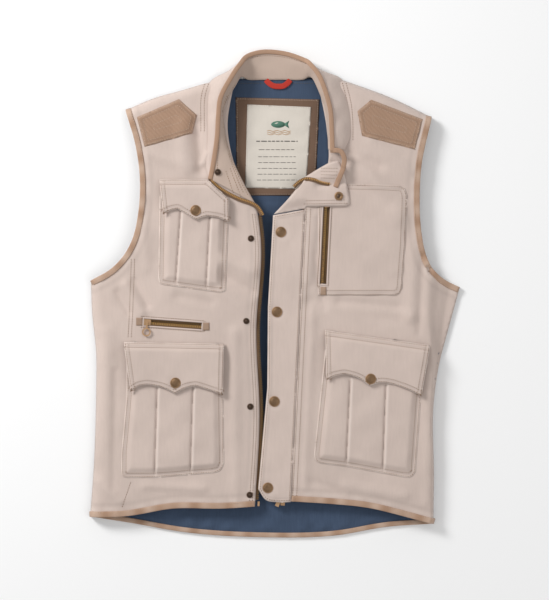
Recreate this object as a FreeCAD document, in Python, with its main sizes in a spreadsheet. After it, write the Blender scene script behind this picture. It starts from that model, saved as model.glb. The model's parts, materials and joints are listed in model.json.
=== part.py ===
"""Fishing vest, laid flat on its back with the front open.

Frame: x from the wearer's right (negative) to left, y from hem to collar, z up.
The origin is under the middle of the vest, on the surface that it lies on.
Every length is in millimetres.
"""
import FreeCAD
import Part
import math
import os

Vector = FreeCAD.Vector
os.makedirs("parts", exist_ok=True)
doc = FreeCAD.newDocument("fishing_vest")

# ---------------------------------------------------------------- driving sizes
SIZES = [
    ("cloth", 1.2),                # shell cotton
    ("lining_cloth", 0.8),         # lining cotton
    ("seam_gap", 0.3),             # air between stacked layers
    ("front_level", 17.1),         # underside of the front shells
    ("front_lining_level", 10.5),  # underside of the front linings
    ("binding_width", 9.0),        # visible width of the edge bindings
    ("binding_cloth", 2.4),        # folded binding
    ("side_strip", 12.0),          # width of the right side panel, front and back
    ("bag_depth", 5.2),            # hidden zip pocket bags, outside depth
    ("gusset_depth", 5.0),         # bellows pockets, inside depth
    ("gusset_cloth", 2.5),         # folded gusset
    ("flap_cloth", 1.8),           # two-ply flaps
    ("flap_rise", 7.0),            # flap underside above the shell
    ("flap_slope", 11.0),          # run over which a flap rises from its seam
    ("placket_level", 17.6),       # underside of the storm placket
    ("placket_cloth", 2.4),
    ("snap_radius", 8.1),          # snap cap
    ("snap_height", 1.7),
    ("socket_radius", 4.6),
    ("socket_bore", 2.5),
    ("post_radius", 1.9),
    ("stud_radius", 4.7),
    ("stud_height", 1.2),
    ("chain_width", 6.0),          # closed zip chain
    ("chain_height", 2.6),
    ("tape_cloth", 0.6),
    ("tape_width", 9.0),           # one side of a zip tape
    ("zip_window", 11.0),          # width of the slot that shows a pocket zip
    ("slider_width", 9.0),
    ("slider_length", 11.0),
    ("slider_plate", 1.0),
    ("slider_room", 0.35),         # between slider plates and teeth
    ("pull_cloth", 1.2),           # thickness of the metal pulls
    ("ring_outer", 6.7),
    ("ring_inner", 4.7),
    ("loop_cloth", 1.5),
    ("label_cloth", 0.6),
    ("face_air", 0.1),             # between a gusset and the pocket's face
    ("flap_air", 2.6),             # between a pocket's face and its flap
    ("flap_seam_air", 0.2),        # between the shell and a flap's seam
    ("hole_air", 0.05),            # round a snap ring in its hole
    ("lapel_rise", 4.4),           # underside of the turned collar end above the front
    ("collar_stud_level", 24.4),
    ("front_chain_level", 9.5),    # underside of the left front chain
    ("right_chain_drop", 3.2),     # the right front chain below its shell
    ("pocket_chain_level", 15.0),  # underside of the pocket chains
    ("tape_rise", 1.0),            # a tape above its chain's underside
    ("pull_air", 2.2),             # a pull above its chain, past the slider
]

sizes = doc.addObject("Spreadsheet::Sheet", "sizes")
for row, (alias, value) in enumerate(SIZES, start=1):
    sizes.set("A%d" % row, alias)
    sizes.set("B%d" % row, str(value))
    sizes.setAlias("B%d" % row, alias)
doc.recompute()


def size(alias):
    """Return a driving size as a number."""
    return float(sizes.get(alias))


# Levels that several parts share, as expressions on the sheet.
FRONT_TOP = "sizes.front_level + sizes.cloth"
ON_FRONT = FRONT_TOP + " + sizes.seam_gap"
LINING_LEVEL = "sizes.cloth + sizes.seam_gap"
LABEL_LEVEL = LINING_LEVEL + " + sizes.lining_cloth + sizes.seam_gap"
BAG_LEVEL = "sizes.front_lining_level + sizes.lining_cloth + sizes.seam_gap"

front_top = size("front_level") + size("cloth")
on_front = front_top + size("seam_gap")

# ---------------------------------------------------------------- garment outlines
# Each outline is a list of strokes that meet end to end: two points are a
# straight line, and more are a smooth curve through them.
SHOULDER_RIGHT = [(-62, 332), (-96, 328), (-147, 314), (-186, 303), (-231, 284)]
ARMHOLE_RIGHT = [(-231, 284), (-215, 229), (-208, 173), (-211, 122), (-219, 86), (-231, 62), (-253, 38),
                 (-285, 20)]
SIDE_RIGHT = [(-285, 20), (-283, -30), (-277, -90), (-277, -160), (-280, -258), (-286, -345)]
FRONT_HEM_RIGHT = [(-286, -345), (-231, -343), (-157, -331), (-80, -331), (-31, -328)]
FRONT_EDGE_RIGHT = [(-31, -328), (-24, -188), (-29, -60), (-22, 83), (-27, 127)]
NECK_RIGHT = [(-27, 127), (-57, 184), (-73, 254), (-62, 332)]

SHOULDER_LEFT = [(64, 334), (101, 331), (129, 322), (180, 303), (242, 273)]
ARMHOLE_LEFT = [(242, 273), (225, 192), (223, 153), (225, 99), (232, 62), (240, 43), (260, 23), (286, 10)]
SIDE_LEFT = [(286, 10), (267, -59), (254, -109), (246, -165), (246, -289), (245, -356)]
FRONT_HEM_LEFT = [(245, -356), (202, -344), (144, -330), (87, -324), (25, -320)]
SEAM_LEFT = [(25, -320), (47, 133)]
NECK_LEFT = [(47, 133), (82, 203), (80, 250), (64, 334)]

BACK_NECK = [(-62, 332), (64, 334)]
BACK_HEM = [(245, -356), (173, -361), (96, -374), (-23, -377), (-142, -369), (-222, -355), (-286, -345)]


def draw(sketch, strokes):
    """Add each stroke to the sketch as a line or a smooth curve."""
    for stroke in strokes:
        points = [Vector(x, y, 0) for x, y in stroke]
        if len(points) == 2:
            sketch.addGeometry(Part.LineSegment(points[0], points[1]), False)
        else:
            curve = Part.BSplineCurve()
            curve.interpolate(points)
            sketch.addGeometry(curve, False)


def ring_of(corners):
    """Return straight strokes round a closed polygon."""
    return [[corners[i], corners[(i + 1) % len(corners)]] for i in range(len(corners))]


def plan_sketch(name, strokes):
    """Return a free sketch in the plan plane."""
    sketch = doc.addObject("Sketcher::SketchObject", name)
    draw(sketch, strokes)
    return sketch


def origin_plane(body, role):
    """Return one of a body's own origin planes."""
    return [feature for feature in body.Origin.OriginFeatures if feature.Role == role][0]


def plate(name, strokes, thickness, level, holes=()):
    """Return a body: a flat piece of cloth padded from its outline."""
    body = doc.addObject("PartDesign::Body", name)
    sketch = body.newObject("Sketcher::SketchObject", name + "_outline")
    sketch.AttachmentSupport = [(origin_plane(body, "XY_Plane"), "")]
    sketch.MapMode = "FlatFace"
    draw(sketch, strokes)
    for hole in holes:
        draw(sketch, hole)
    pad = body.newObject("PartDesign::Pad", name + "_pad")
    pad.Profile = sketch
    pad.setExpression("Length", thickness)
    body.setExpression("Placement.Base.z", level)
    return body


def prism(name, source, height, level):
    """Return an upright extrusion of a sketch or face."""
    solid = doc.addObject("Part::Extrusion", name)
    solid.Base = source
    solid.DirMode = "Custom"
    solid.Dir = Vector(0, 0, 1)
    solid.Solid = True
    solid.setExpression("LengthFwd", height)
    solid.setExpression("Placement.Base.z", level)
    return solid


def shifted(points, distance):
    """Return a line moved to its left by a distance, square to itself at every point."""
    moved_points = []
    for i, (x, y) in enumerate(points):
        before = points[i - 1] if i else None
        after = points[i + 1] if i + 1 < len(points) else None
        steps = []
        if before:
            steps.append(Vector(x - before[0], y - before[1], 0).normalize())
        if after:
            steps.append(Vector(after[0] - x, after[1] - y, 0).normalize())
        run = steps[0] + steps[-1]
        run.normalize()
        normal = Vector(-run.y, run.x, 0)
        reach = distance / max(0.5, run.dot(steps[0]))
        moved_points.append((x + normal.x * reach, y + normal.y * reach))
    return moved_points


def strip_strokes(left_line, right_line, straight=False):
    """Return the closed strokes between two lines that run side by side."""
    if straight:
        sides = [[left_line[i], left_line[i + 1]] for i in range(len(left_line) - 1)]
        others = [[right_line[i + 1], right_line[i]] for i in reversed(range(len(right_line) - 1))]
        return sides + [[left_line[-1], right_line[-1]]] + others + [[right_line[0], left_line[0]]]
    return [left_line, [left_line[-1], right_line[-1]], backwards(right_line),
            [right_line[0], left_line[0]]]


def backwards(stroke):
    """Return a stroke run the other way."""
    return list(reversed(stroke))


def band(name, stroke, near, far, height, level, straight=False):
    """Return an upright band between two distances to the left of a line."""
    strokes = strip_strokes(shifted(stroke, far), shifted(stroke, near), straight)
    return prism(name, plan_sketch(name + "_plan", strokes), height, level)


def cut(name, base, tools):
    """Return the base without the tools."""
    tool = tools[0]
    if len(tools) > 1:
        tool = doc.addObject("Part::MultiFuse", name + "_tools")
        tool.Shapes = tools
    result = doc.addObject("Part::Cut", name)
    result.Base = base
    result.Tool = tool
    return result


def fuse(name, shapes):
    """Return the union of several objects."""
    result = doc.addObject("Part::MultiFuse", name)
    result.Shapes = shapes
    return result


def group(name, shapes):
    """Return separate solids that share one node."""
    result = doc.addObject("Part::Compound", name)
    result.Links = shapes
    return result


def common(name, first, second):
    """Return what two objects share."""
    result = doc.addObject("Part::Common", name)
    result.Base = first
    result.Tool = second
    return result


def slab(name, corner, extent):
    """Return a plain box, used to trim other solids."""
    box = doc.addObject("Part::Box", name)
    box.Length, box.Width, box.Height = extent
    box.Placement.Base = Vector(*corner)
    return box


def disc(name, centre, radius, height, level, top=None):
    """Return a cylinder, or a cone if the top radius is given too."""
    kind = "Part::Cylinder" if top is None else "Part::Cone"
    solid = doc.addObject(kind, name)
    if top is None:
        solid.setExpression("Radius", radius)
    else:
        solid.setExpression("Radius1", radius)
        solid.setExpression("Radius2", top)
    solid.setExpression("Height", height)
    solid.Placement.Base = Vector(centre[0], centre[1], 0)
    solid.setExpression("Placement.Base.z", level)
    return solid


def block(name, start, end, width, height, level):
    """Return a bar of the given width laid from start to end."""
    span = Vector(end[0] - start[0], end[1] - start[1], 0)
    bar = doc.addObject("Part::Box", name)
    bar.Length = span.Length
    bar.setExpression("Width", width)
    bar.setExpression("Height", height)
    turn = FreeCAD.Rotation(Vector(1, 0, 0), span)
    doc.recompute()
    side = Vector(-span.y, span.x, 0).normalize() * (float(bar.Width) / 2)
    bar.Placement = FreeCAD.Placement(Vector(start[0], start[1], 0) - side, turn)
    bar.setExpression("Placement.Base.z", level)
    return bar


# ---------------------------------------------------------------- shell and lining
ALL_HEIGHT = "sizes.front_level + sizes.binding_cloth"
VEST = [SHOULDER_RIGHT, ARMHOLE_RIGHT, SIDE_RIGHT, backwards(BACK_HEM), backwards(SIDE_LEFT),
        backwards(ARMHOLE_LEFT), backwards(SHOULDER_LEFT), backwards(BACK_NECK)]
RIGHT = [SHOULDER_RIGHT, ARMHOLE_RIGHT, SIDE_RIGHT, FRONT_HEM_RIGHT, FRONT_EDGE_RIGHT, NECK_RIGHT]
LEFT = [SHOULDER_LEFT, ARMHOLE_LEFT, SIDE_LEFT, FRONT_HEM_LEFT, SEAM_LEFT, NECK_LEFT]


BINDING = size("binding_width")
SIDE = size("side_strip")
WALL = size("cloth")


def room(name, stroke, width):
    """Return the full-height space that an edge piece needs on both sides of its line."""
    reach = width + 7 * size("seam_gap")
    ends = [Vector(*stroke[0], 0), Vector(*stroke[1], 0), Vector(*stroke[-2], 0), Vector(*stroke[-1], 0)]
    first = ends[0] + (ends[0] - ends[1]).normalize() * reach
    last = ends[3] + (ends[3] - ends[2]).normalize() * reach
    longer = [(first.x, first.y)] + stroke + [(last.x, last.y)]
    return band(name, longer, -reach, reach, ALL_HEIGHT + " + 2", "-1")


# Which side of its line each edge lies on: the vest is to the left of the right half's lines.
INWARD = {"right": 1, "left": -1}
ARMHOLES = {"right": ARMHOLE_RIGHT, "left": ARMHOLE_LEFT}
SIDES = {"right": SIDE_RIGHT, "left": SIDE_LEFT}
HEMS = {"right": FRONT_HEM_RIGHT, "left": FRONT_HEM_LEFT}
SHOULDERS = {"right": SHOULDER_RIGHT, "left": SHOULDER_LEFT}
ARMHOLE_GAPS = {"right": (40, 266), "left": (32, 256)}
trim = {"hem_back": room("hem_room_back", BACK_HEM, BINDING)}
for side in ("right", "left"):
    trim["arm_" + side] = room("arm_room_" + side, ARMHOLES[side], BINDING)
    trim["side_" + side] = room("side_room_" + side, SIDES[side], SIDE)
    trim["hem_" + side] = room("hem_room_" + side, HEMS[side], BINDING)
    trim["shoulder_" + side] = room("shoulder_room_" + side, SHOULDERS[side], WALL)

band("back_hem_binding", BACK_HEM, 0, -BINDING, "sizes.binding_cloth", "0")
for side in ("right", "left"):
    inward = INWARD[side]
    low, high = ARMHOLE_GAPS[side]
    ring = band("armhole_ring_" + side, ARMHOLES[side], 0, inward * BINDING, ALL_HEIGHT, "0")
    gap = slab("armhole_gap_" + side, (-330, low, 2.6), (660, high - low, 14.2))
    cut("armhole_binding_" + side, ring, [gap])
    hem = band("front_hem_band_" + side, HEMS[side], 0, inward * BINDING, "sizes.binding_cloth",
               "sizes.front_level")
    hem.Label = "front_hem_binding_" + side
    # The side panel is a channel: back, outer wall and front in one strip of cloth.
    strip = band("side_strip_" + side, SIDES[side], 0, inward * SIDE, FRONT_TOP, "0")
    hollow = band("side_hollow_" + side, SIDES[side], inward * WALL, inward * (SIDE + 20),
                  "sizes.front_level - sizes.cloth", "sizes.cloth")
    cut("side_panel_" + side, strip, [hollow, trim["arm_" + side], trim["hem_back"], trim["hem_" + side]])


def cloth_panel(name, strokes, thickness, level, tools, holes=()):
    """Return a panel cut clear of the edge pieces round it."""
    return cut(name, plate(name + "_sheet", strokes, thickness, level, holes), tools)


def turned_box(centre, length, width, angle):
    """Return the corner strokes of a rectangle turned by an angle in degrees."""
    along = Vector(math.cos(math.radians(angle)), math.sin(math.radians(angle)), 0)
    across = Vector(-along.y, along.x, 0)
    middle = Vector(centre[0], centre[1], 0)
    corners = []
    for u, v in ((-1, -1), (1, -1), (1, 1), (-1, 1)):
        corner = middle + along * (u * length / 2) + across * (v * width / 2)
        corners.append((corner.x, corner.y))
    return ring_of(corners)


SIDE_ZIP = [(-203, -43.5), (-112, -50)]
CHEST_ZIP = [(81, 162), (74, 14)]


def line_middle(line):
    """Return a two-point line's middle, length and direction in degrees."""
    span = (line[1][0] - line[0][0], line[1][1] - line[0][1])
    middle = ((line[0][0] + line[1][0]) / 2, (line[0][1] + line[1][1]) / 2)
    return middle, math.hypot(*span), math.degrees(math.atan2(span[1], span[0]))


def zip_slot(line, extra=0.0):
    """Return the strokes of the slot that shows a pocket zip."""
    middle, length, angle = line_middle(line)
    return turned_box(middle, length + 2 * extra, size("zip_window") + 2 * extra, angle)


common_trim = [trim["arm_right"], trim["arm_left"]]
shoulders = [trim["shoulder_right"], trim["shoulder_left"]]
sides = [trim["side_right"], trim["side_left"]]
cloth_panel("back_panel", VEST, "sizes.cloth", "0", common_trim + sides + [trim["hem_back"]])
cloth_panel("back_lining", VEST, "sizes.lining_cloth", LINING_LEVEL,
            common_trim + sides + shoulders + [trim["hem_back"]])
for side, strokes, slot in (("right", RIGHT, SIDE_ZIP), ("left", LEFT, CHEST_ZIP)):
    edges = [trim["arm_" + side], trim["side_" + side], trim["hem_" + side]]
    sheet = cloth_panel("front_sheet_" + side, strokes, "sizes.cloth", "sizes.front_level", edges,
                        [zip_slot(slot)])
    drop = band("shoulder_wall_" + side, SHOULDERS[side], 0, INWARD[side] * WALL,
                "sizes.front_level - (" + LINING_LEVEL + ")", LINING_LEVEL)
    trimmed_drop = cut("shoulder_drop_" + side, drop, [trim["arm_" + side]])
    fuse("front_panel_" + side, [sheet, trimmed_drop])
    cloth_panel("front_lining_" + side, strokes, "sizes.lining_cloth", "sizes.front_lining_level",
                edges + [trim["shoulder_" + side]])

# ---------------------------------------------------------------- neck pieces
plate("neck_patch", ring_of([(-61, 304), (69, 301), (62, 152), (-59, 152)]), "sizes.label_cloth",
      LABEL_LEVEL)
plate("neck_label", ring_of([(-43, 293), (56, 289), (48, 162), (-46, 164)]), "sizes.label_cloth",
      LABEL_LEVEL + " + sizes.label_cloth + 0.1")
loop_outer = [[(-19, 330), (28, 330)], [(28, 330), (23, 317), (5, 309), (-14, 317), (-19, 330)]]
loop_inner = [[(-11, 330), (20, 330)], [(20, 330), (16, 321), (5, 316), (-7, 321), (-11, 330)]]
plate("hanger_loop", loop_outer, "sizes.loop_cloth", LABEL_LEVEL, [loop_inner])

# ---------------------------------------------------------------- shoulder patches
plate("shoulder_patch_right", [[(-213, 272), (-148, 300)], [(-148, 300), (-120, 275)],
                               [(-120, 275), (-127, 247)],
                               [(-127, 247), (-201, 226)], [(-201, 226), (-213, 272)]], "sizes.cloth",
                               ON_FRONT)
plate("shoulder_patch_left", [[(127, 281), (148, 299)], [(148, 299), (228, 269)], [(228, 269), (216, 222)],
                              [(216, 222), (134, 243)], [(134, 243), (127, 281)]], "sizes.cloth", ON_FRONT)

# ---------------------------------------------------------------- patch pockets
def snap_cap(name, centre, flap_bottom, flap_cloth):
    """Return a snap cap: dome over the cloth, rivet through it and socket ring under it."""
    top = flap_bottom + " + " + flap_cloth
    dome = disc(name + "_dome", centre, "sizes.snap_radius", "sizes.snap_height", top,
                "sizes.snap_radius - 1")
    ring = disc(name + "_ring", centre, "sizes.socket_radius", flap_cloth + " + 1.2",
                flap_bottom + " - 1.2")
    bore = disc(name + "_bore", centre, "sizes.socket_bore", "1.2 + 0.6", flap_bottom + " - 1.2")
    return fuse(name, [dome, cut(name + "_socket", ring, [bore])])


def snap_stud(name, centre, level):
    """Return a snap stud: a flange on the cloth with a post that the socket takes."""
    flange = disc(name + "_flange", centre, "sizes.stud_radius", "sizes.stud_height", level)
    post = disc(name + "_post", centre, "sizes.post_radius", "sizes.stud_height + 1.6", level)
    return fuse(name, [flange, post])


FACE_LEVEL = ON_FRONT + " + sizes.gusset_depth + sizes.face_air"
FACE_TOP = FACE_LEVEL + " + sizes.cloth"
FLAP_LEVEL = FRONT_TOP + " + sizes.flap_rise + sizes.flap_air"
flap_level = front_top + size("flap_rise") + size("flap_air")


def pocket(name, mouth, sides_and_bottom, flap, root, snap):
    """Build one bellows pocket with its scalloped flap and snap."""
    plate(name + "_face", [mouth] + sides_and_bottom, "sizes.cloth", FACE_LEVEL)
    rim = [stroke[0] for stroke in sides_and_bottom] + [sides_and_bottom[-1][-1]]
    band(name + "_gusset", rim, 0, size("gusset_cloth"), "sizes.gusset_depth", ON_FRONT, True)
    flap_bent(name + "_flap", flap, root, snap)
    snap_cap(name + "_snap_cap", snap, FLAP_LEVEL, "sizes.flap_cloth")
    snap_stud(name + "_snap_stud", snap, FACE_TOP)


def flap_bent(name, outline, root, snap):
    """Return a flap that rises from its seam and runs on flat over the pocket."""
    rise = flap_level - on_front - size("flap_seam_air")
    slope = size("flap_slope")
    thick = size("flap_cloth")
    reach = 90.0
    profile = [Vector(0, 0, 0), Vector(0, -slope, rise), Vector(0, -reach, rise),
               Vector(0, -reach, rise + thick),
               Vector(0, -slope - 0.6, rise + thick), Vector(0, -0.6, thick), Vector(0, 0, thick),
               Vector(0, 0, 0)]
    span = Vector(root[1][0] - root[0][0], root[1][1] - root[0][1], 0)
    face = Part.Face(Part.makePolygon([point - Vector(10, 0, 0) for point in profile]))
    bent = doc.addObject("Part::Feature", name + "_bend")
    bent.Shape = face.extrude(Vector(span.Length + 60, 0, 0))
    turn = FreeCAD.Rotation(Vector(1, 0, 0), span)
    bent.Placement = FreeCAD.Placement(Vector(root[0][0], root[0][1], on_front + size("flap_seam_air")),
                                       turn)
    cover = prism(name + "_cover", plan_sketch(name + "_outline", outline), "60", "0")
    hole = disc(name + "_hole", snap, "sizes.socket_radius + sizes.hole_air", "60", "0")
    cut(name, common(name + "_whole", bent, cover), [hole])


pocket("chest_pocket", [(-70, 148), (-178, 151)],
       [[(-178, 151), (-180, 24)], [(-180, 24), (-178, 16), (-171, 13)], [(-171, 13), (-84, 1)],
        [(-84, 1), (-76, 4), (-75, 12)], [(-75, 12), (-70, 148)]],
       [[(-178, 176), (-104, 176)], [(-104, 176), (-71, 146)], [(-71, 146), (-70, 110)],
        [(-70, 110), (-86, 116), (-104, 119)], [(-104, 119), (-112, 117), (-122, 113)],
        [(-122, 113), (-133, 120), (-150, 130)], [(-150, 130), (-162, 127), (-172, 122)],
        [(-172, 122), (-178, 176)]],
       [(-178, 176), (-104, 176)], (-122, 128))
pocket("right_hip_pocket", [(-80, -104), (-229, -102)],
       [[(-229, -102), (-229, -157)], [(-229, -157), (-237, -245)], [(-237, -245), (-237, -276)],
        [(-237, -276), (-234, -282), (-228, -284)], [(-228, -284), (-186, -284)],
        [(-186, -284), (-96, -277)],
        [(-96, -277), (-84, -273), (-78, -262)],
        [(-78, -262), (-80, -104)]],
       [[(-233, -74), (-78, -77)], [(-78, -77), (-80, -156)], [(-80, -156), (-97, -150), (-122, -142)],
        [(-122, -142), (-136, -145), (-154, -154)], [(-154, -154), (-172, -145), (-197, -140)],
        [(-197, -140), (-210, -143), (-222, -151)], [(-222, -151), (-233, -74)]],
       [(-233, -74), (-78, -77)], (-153, -137))
pocket("left_hip_pocket", [(229, -108), (77, -87)],
       [[(77, -87), (60, -247)], [(60, -247), (62, -257), (70, -262)],
        [(70, -262), (110, -267)], [(110, -267), (197, -283)], [(197, -283), (210, -283), (217, -275)],
        [(217, -275), (229, -108)]],
       [[(77, -56), (239, -79)], [(239, -79), (225, -158)], [(225, -158), (210, -150), (180, -139)],
        [(180, -139), (162, -137), (145, -142)], [(145, -142), (128, -130), (107, -124)],
        [(107, -124), (92, -127), (79, -133)], [(79, -133), (77, -56)]],
       [(77, -56), (239, -79)], (147, -131))

# ---------------------------------------------------------------- collar
# The collar is a band between the neck seam and its bound top edge.  Each station
# gives a point on the seam and a point on the top edge, from the right front end
# round the back to the left end.
COLLAR = [
    ((-30, 138, 19.6), (-100, 176, 21.5)), ((-50, 174, 19.6), (-95, 200, 24)),
    ((-68, 214, 19.6), (-89, 240, 31)), ((-78, 254, 19.6), (-87, 272, 34)),
    ((-78, 288, 19.6), (-83, 302, 35)), ((-60, 322, 19.8), (-66, 334, 33)),
    ((-50, 340, 10), (-53, 354, 24)), ((-40, 338, 4.6), (-42, 367, 13)),
    ((-15, 337, 3.4), (-17, 374, 8)), ((15, 337, 3.4), (16, 371, 8)),
    ((42, 338, 4.6), (44, 361, 14)), ((52, 341, 10), (54, 353, 25)),
    ((62, 324, 19.8), (70, 330, 33)), ((77, 285, 19.6), (84, 286, 35)),
    ((81, 250, 19.6), (87, 250, 34)), ((82, 222, 22.6), (88, 218, 33)),
]


def collar_band(name, shift, thickness):
    """Return the collar band at a distance outside the stations, as one ruled solid."""
    wires = []
    for i, (low, top) in enumerate(COLLAR):
        before = COLLAR[max(i - 1, 0)]
        after = COLLAR[min(i + 1, len(COLLAR) - 1)]
        along = (Vector(*after[0]) - Vector(*before[0])).normalize()
        up = (Vector(*top) - Vector(*low)).normalize()
        outward = up.cross(along).normalize()
        near = outward * shift
        far = outward * (shift + thickness)
        corners = [Vector(*low) + near, Vector(*top) + near, Vector(*top) + far, Vector(*low) + far]
        wires.append(Part.makePolygon(corners + corners[:1]))
    result = doc.addObject("Part::Feature", name)
    result.Shape = Part.makeLoft(wires, True, True)
    return result


def edge_run(name, width, height, drop):
    """Return the binding: a small box section that runs along the collar's top edge."""
    wires = []
    for i, (low, top) in enumerate(COLLAR):
        before = COLLAR[max(i - 1, 0)]
        after = COLLAR[min(i + 1, len(COLLAR) - 1)]
        along = (Vector(*after[1]) - Vector(*before[1])).normalize()
        up = (Vector(*top) - Vector(*low)).normalize()
        across = up.cross(along).normalize() * (width / 2)
        start = Vector(*top) + up * drop
        corners = [start - across, start + across, start + across + up * height,
                   start - across + up * height]
        wires.append(Part.makePolygon(corners + corners[:1]))
    result = doc.addObject("Part::Feature", name)
    result.Shape = Part.makeLoft(wires, True, True)
    return result


collar_band("collar_facing", -0.9, 0.8)
collar_band("collar_shell", 0.2, 0.8)
edge_run("collar_binding", 3.0, 3.0, 0.8)

# The left end of the collar is turned out over the chest.
LAPEL = [[(2, 124), (20, 146), (48, 181)], [(48, 181), (66, 192), (84, 202)],
         [(84, 202), (98, 204), (103, 196)],
         [(103, 196), (110, 172), (115, 148)], [(115, 148), (115, 139), (108, 134)],
         [(108, 134), (39, 134)],
         [(39, 134), (20, 128), (2, 124)]]
LAPEL_LEVEL = ON_FRONT + " + sizes.lapel_rise"
plate("collar_end_left", LAPEL, "2 * sizes.cloth", LAPEL_LEVEL)
LAPEL_TOP = LAPEL_LEVEL + " + 2 * sizes.cloth"

socket = disc("collar_socket_flange", (98, 150), "sizes.socket_radius + 1.3", "sizes.stud_height",
              LAPEL_TOP)
socket_bore = disc("collar_socket_bore", (98, 150), "sizes.socket_bore", "sizes.stud_height", LAPEL_TOP)
group("collar_snaps", [snap_stud("collar_stud", (-88, 187), "sizes.collar_stud_level"),
                       cut("collar_socket", socket, [socket_bore])])

# ---------------------------------------------------------------- storm placket
PLACKET = [[(46, 130), (24, -321)], [(24, -321), (8, -322)], [(8, -322), (-14, -318), (-26, -301)],
           [(-26, -301), (-12, -145)], [(-12, -145), (-11, -20)], [(-11, -20), (-3, 121)],
           [(-3, 121), (46, 130)]]
PLACKET_SNAPS = [(9, 95), (3, -28), (-1, -166), (-11, -299)]
FRONT_STUDS = [(-37, 85), (-44, -42), (-38, -174), (-39, -310)]
placket_holes = [disc("placket_hole_%d" % i, centre, "sizes.socket_radius + sizes.hole_air", "60", "0")
                 for i, centre in enumerate(PLACKET_SNAPS)]
cut("placket_flap", plate("placket_sheet", PLACKET, "sizes.placket_cloth", "sizes.placket_level"),
    placket_holes)
group("placket_snap_caps", [snap_cap("placket_cap_%d" % i, centre, "sizes.placket_level",
                                     "sizes.placket_cloth")
                            for i, centre in enumerate(PLACKET_SNAPS)])
group("front_snap_studs", [snap_stud("front_stud_%d" % i, centre, FRONT_TOP) for i, centre in
                           enumerate(FRONT_STUDS[:3])] +
      [snap_stud("front_stud_hem", FRONT_STUDS[3], FRONT_TOP)])

# ---------------------------------------------------------------- front zip
RIGHT_CHAIN = [(-25, -318), (-18, -188), (-23, -60), (-16, 83), (-20, 122)]
LEFT_CHAIN = [(13, -318), (35, 119)]
CHAIN_LEVEL = "sizes.front_chain_level"
TAPE_LEVEL = CHAIN_LEVEL + " + sizes.tape_rise"


def on_line(line, distance):
    """Return the point at a distance along a two-point line."""
    length = math.hypot(line[1][0] - line[0][0], line[1][1] - line[0][1])
    share = distance / length
    return (line[0][0] + share * (line[1][0] - line[0][0]), line[0][1] + share * (line[1][1] - line[0][1]))


def beside(point, line, distance):
    """Return a point moved square to a line, to its left."""
    length = math.hypot(line[1][0] - line[0][0], line[1][1] - line[0][1])
    return (point[0] - distance * (line[1][1] - line[0][1]) / length,
            point[1] + distance * (line[1][0] - line[0][0]) / length)


def half_chain(name, line, level):
    """Return one straight half of a zip chain."""
    return block(name, line[0], line[1], "sizes.chain_width / 2", "sizes.chain_height", level)


half_width = size("chain_width") / 2
band("front_zip_teeth_right", RIGHT_CHAIN, 0, half_width, "sizes.chain_height",
     "sizes.front_level - sizes.right_chain_drop")
band("front_zip_tape_right", RIGHT_CHAIN, half_width + 0.2, size("tape_width"), "sizes.tape_cloth",
     "sizes.front_level - sizes.right_chain_drop")
half_chain("front_zip_teeth_left", LEFT_CHAIN, CHAIN_LEVEL)
tape_line = [beside(LEFT_CHAIN[0], LEFT_CHAIN, -6.2), beside(LEFT_CHAIN[1], LEFT_CHAIN, -6.2)]
block("front_zip_tape_left", tape_line[0], tape_line[1], "sizes.tape_width", "sizes.tape_cloth", TAPE_LEVEL)


def slider(name, line, distance, chain_level, wall):
    """Return a slider that straddles its chain: plates over and under it, and a wall at its free side."""
    half = size("slider_length") / 2
    start = on_line(line, distance - half)
    end = on_line(line, distance + half)
    low = chain_level + " - sizes.slider_room - sizes.slider_plate"
    high = chain_level + " + sizes.chain_height + sizes.slider_room"
    lug = block(name + "_lug", on_line(line, distance - 2.5), on_line(line, distance + 2.5), "2.0", "2.0",
                high)
    over = block(name + "_over", start, end, "sizes.slider_width", "sizes.slider_plate", high)
    under = block(name + "_under", start, end, "sizes.slider_width", "sizes.slider_plate", low)
    top = fuse(name + "_top", [over, lug])
    if not wall:
        return group(name, [top, under])
    side = block(name + "_wall", beside(start, line, 3.4), beside(end, line, 3.4), "2.2",
                 "sizes.chain_height + 2 * sizes.slider_room + 1", low + " + 0.5")
    return fuse(name, [top, under, side])


slider("front_zip_slider", LEFT_CHAIN, 18.0, CHAIN_LEVEL, True)
block("front_zip_pull", (12.9, -303.5), (2.5, -328), "6.0", "sizes.pull_cloth",
      CHAIN_LEVEL + " + sizes.chain_height + sizes.slider_room + sizes.pull_air")
box = block("retainer_box", beside((12.6, -327), LEFT_CHAIN, 0.8), beside((13, -318.4), LEFT_CHAIN, 0.8),
            "6.5", "sizes.chain_height + 0.6", CHAIN_LEVEL + " - 0.3")
pin = block("insertion_pin", (-25.5, -327.5), (-25.2, -320.5), "3.0", "sizes.chain_height",
            "sizes.front_level - sizes.right_chain_drop")
group("front_zip_box_and_pin", [box, pin])

# ---------------------------------------------------------------- zip pockets
POCKET_CHAIN = "sizes.pocket_chain_level"


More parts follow.
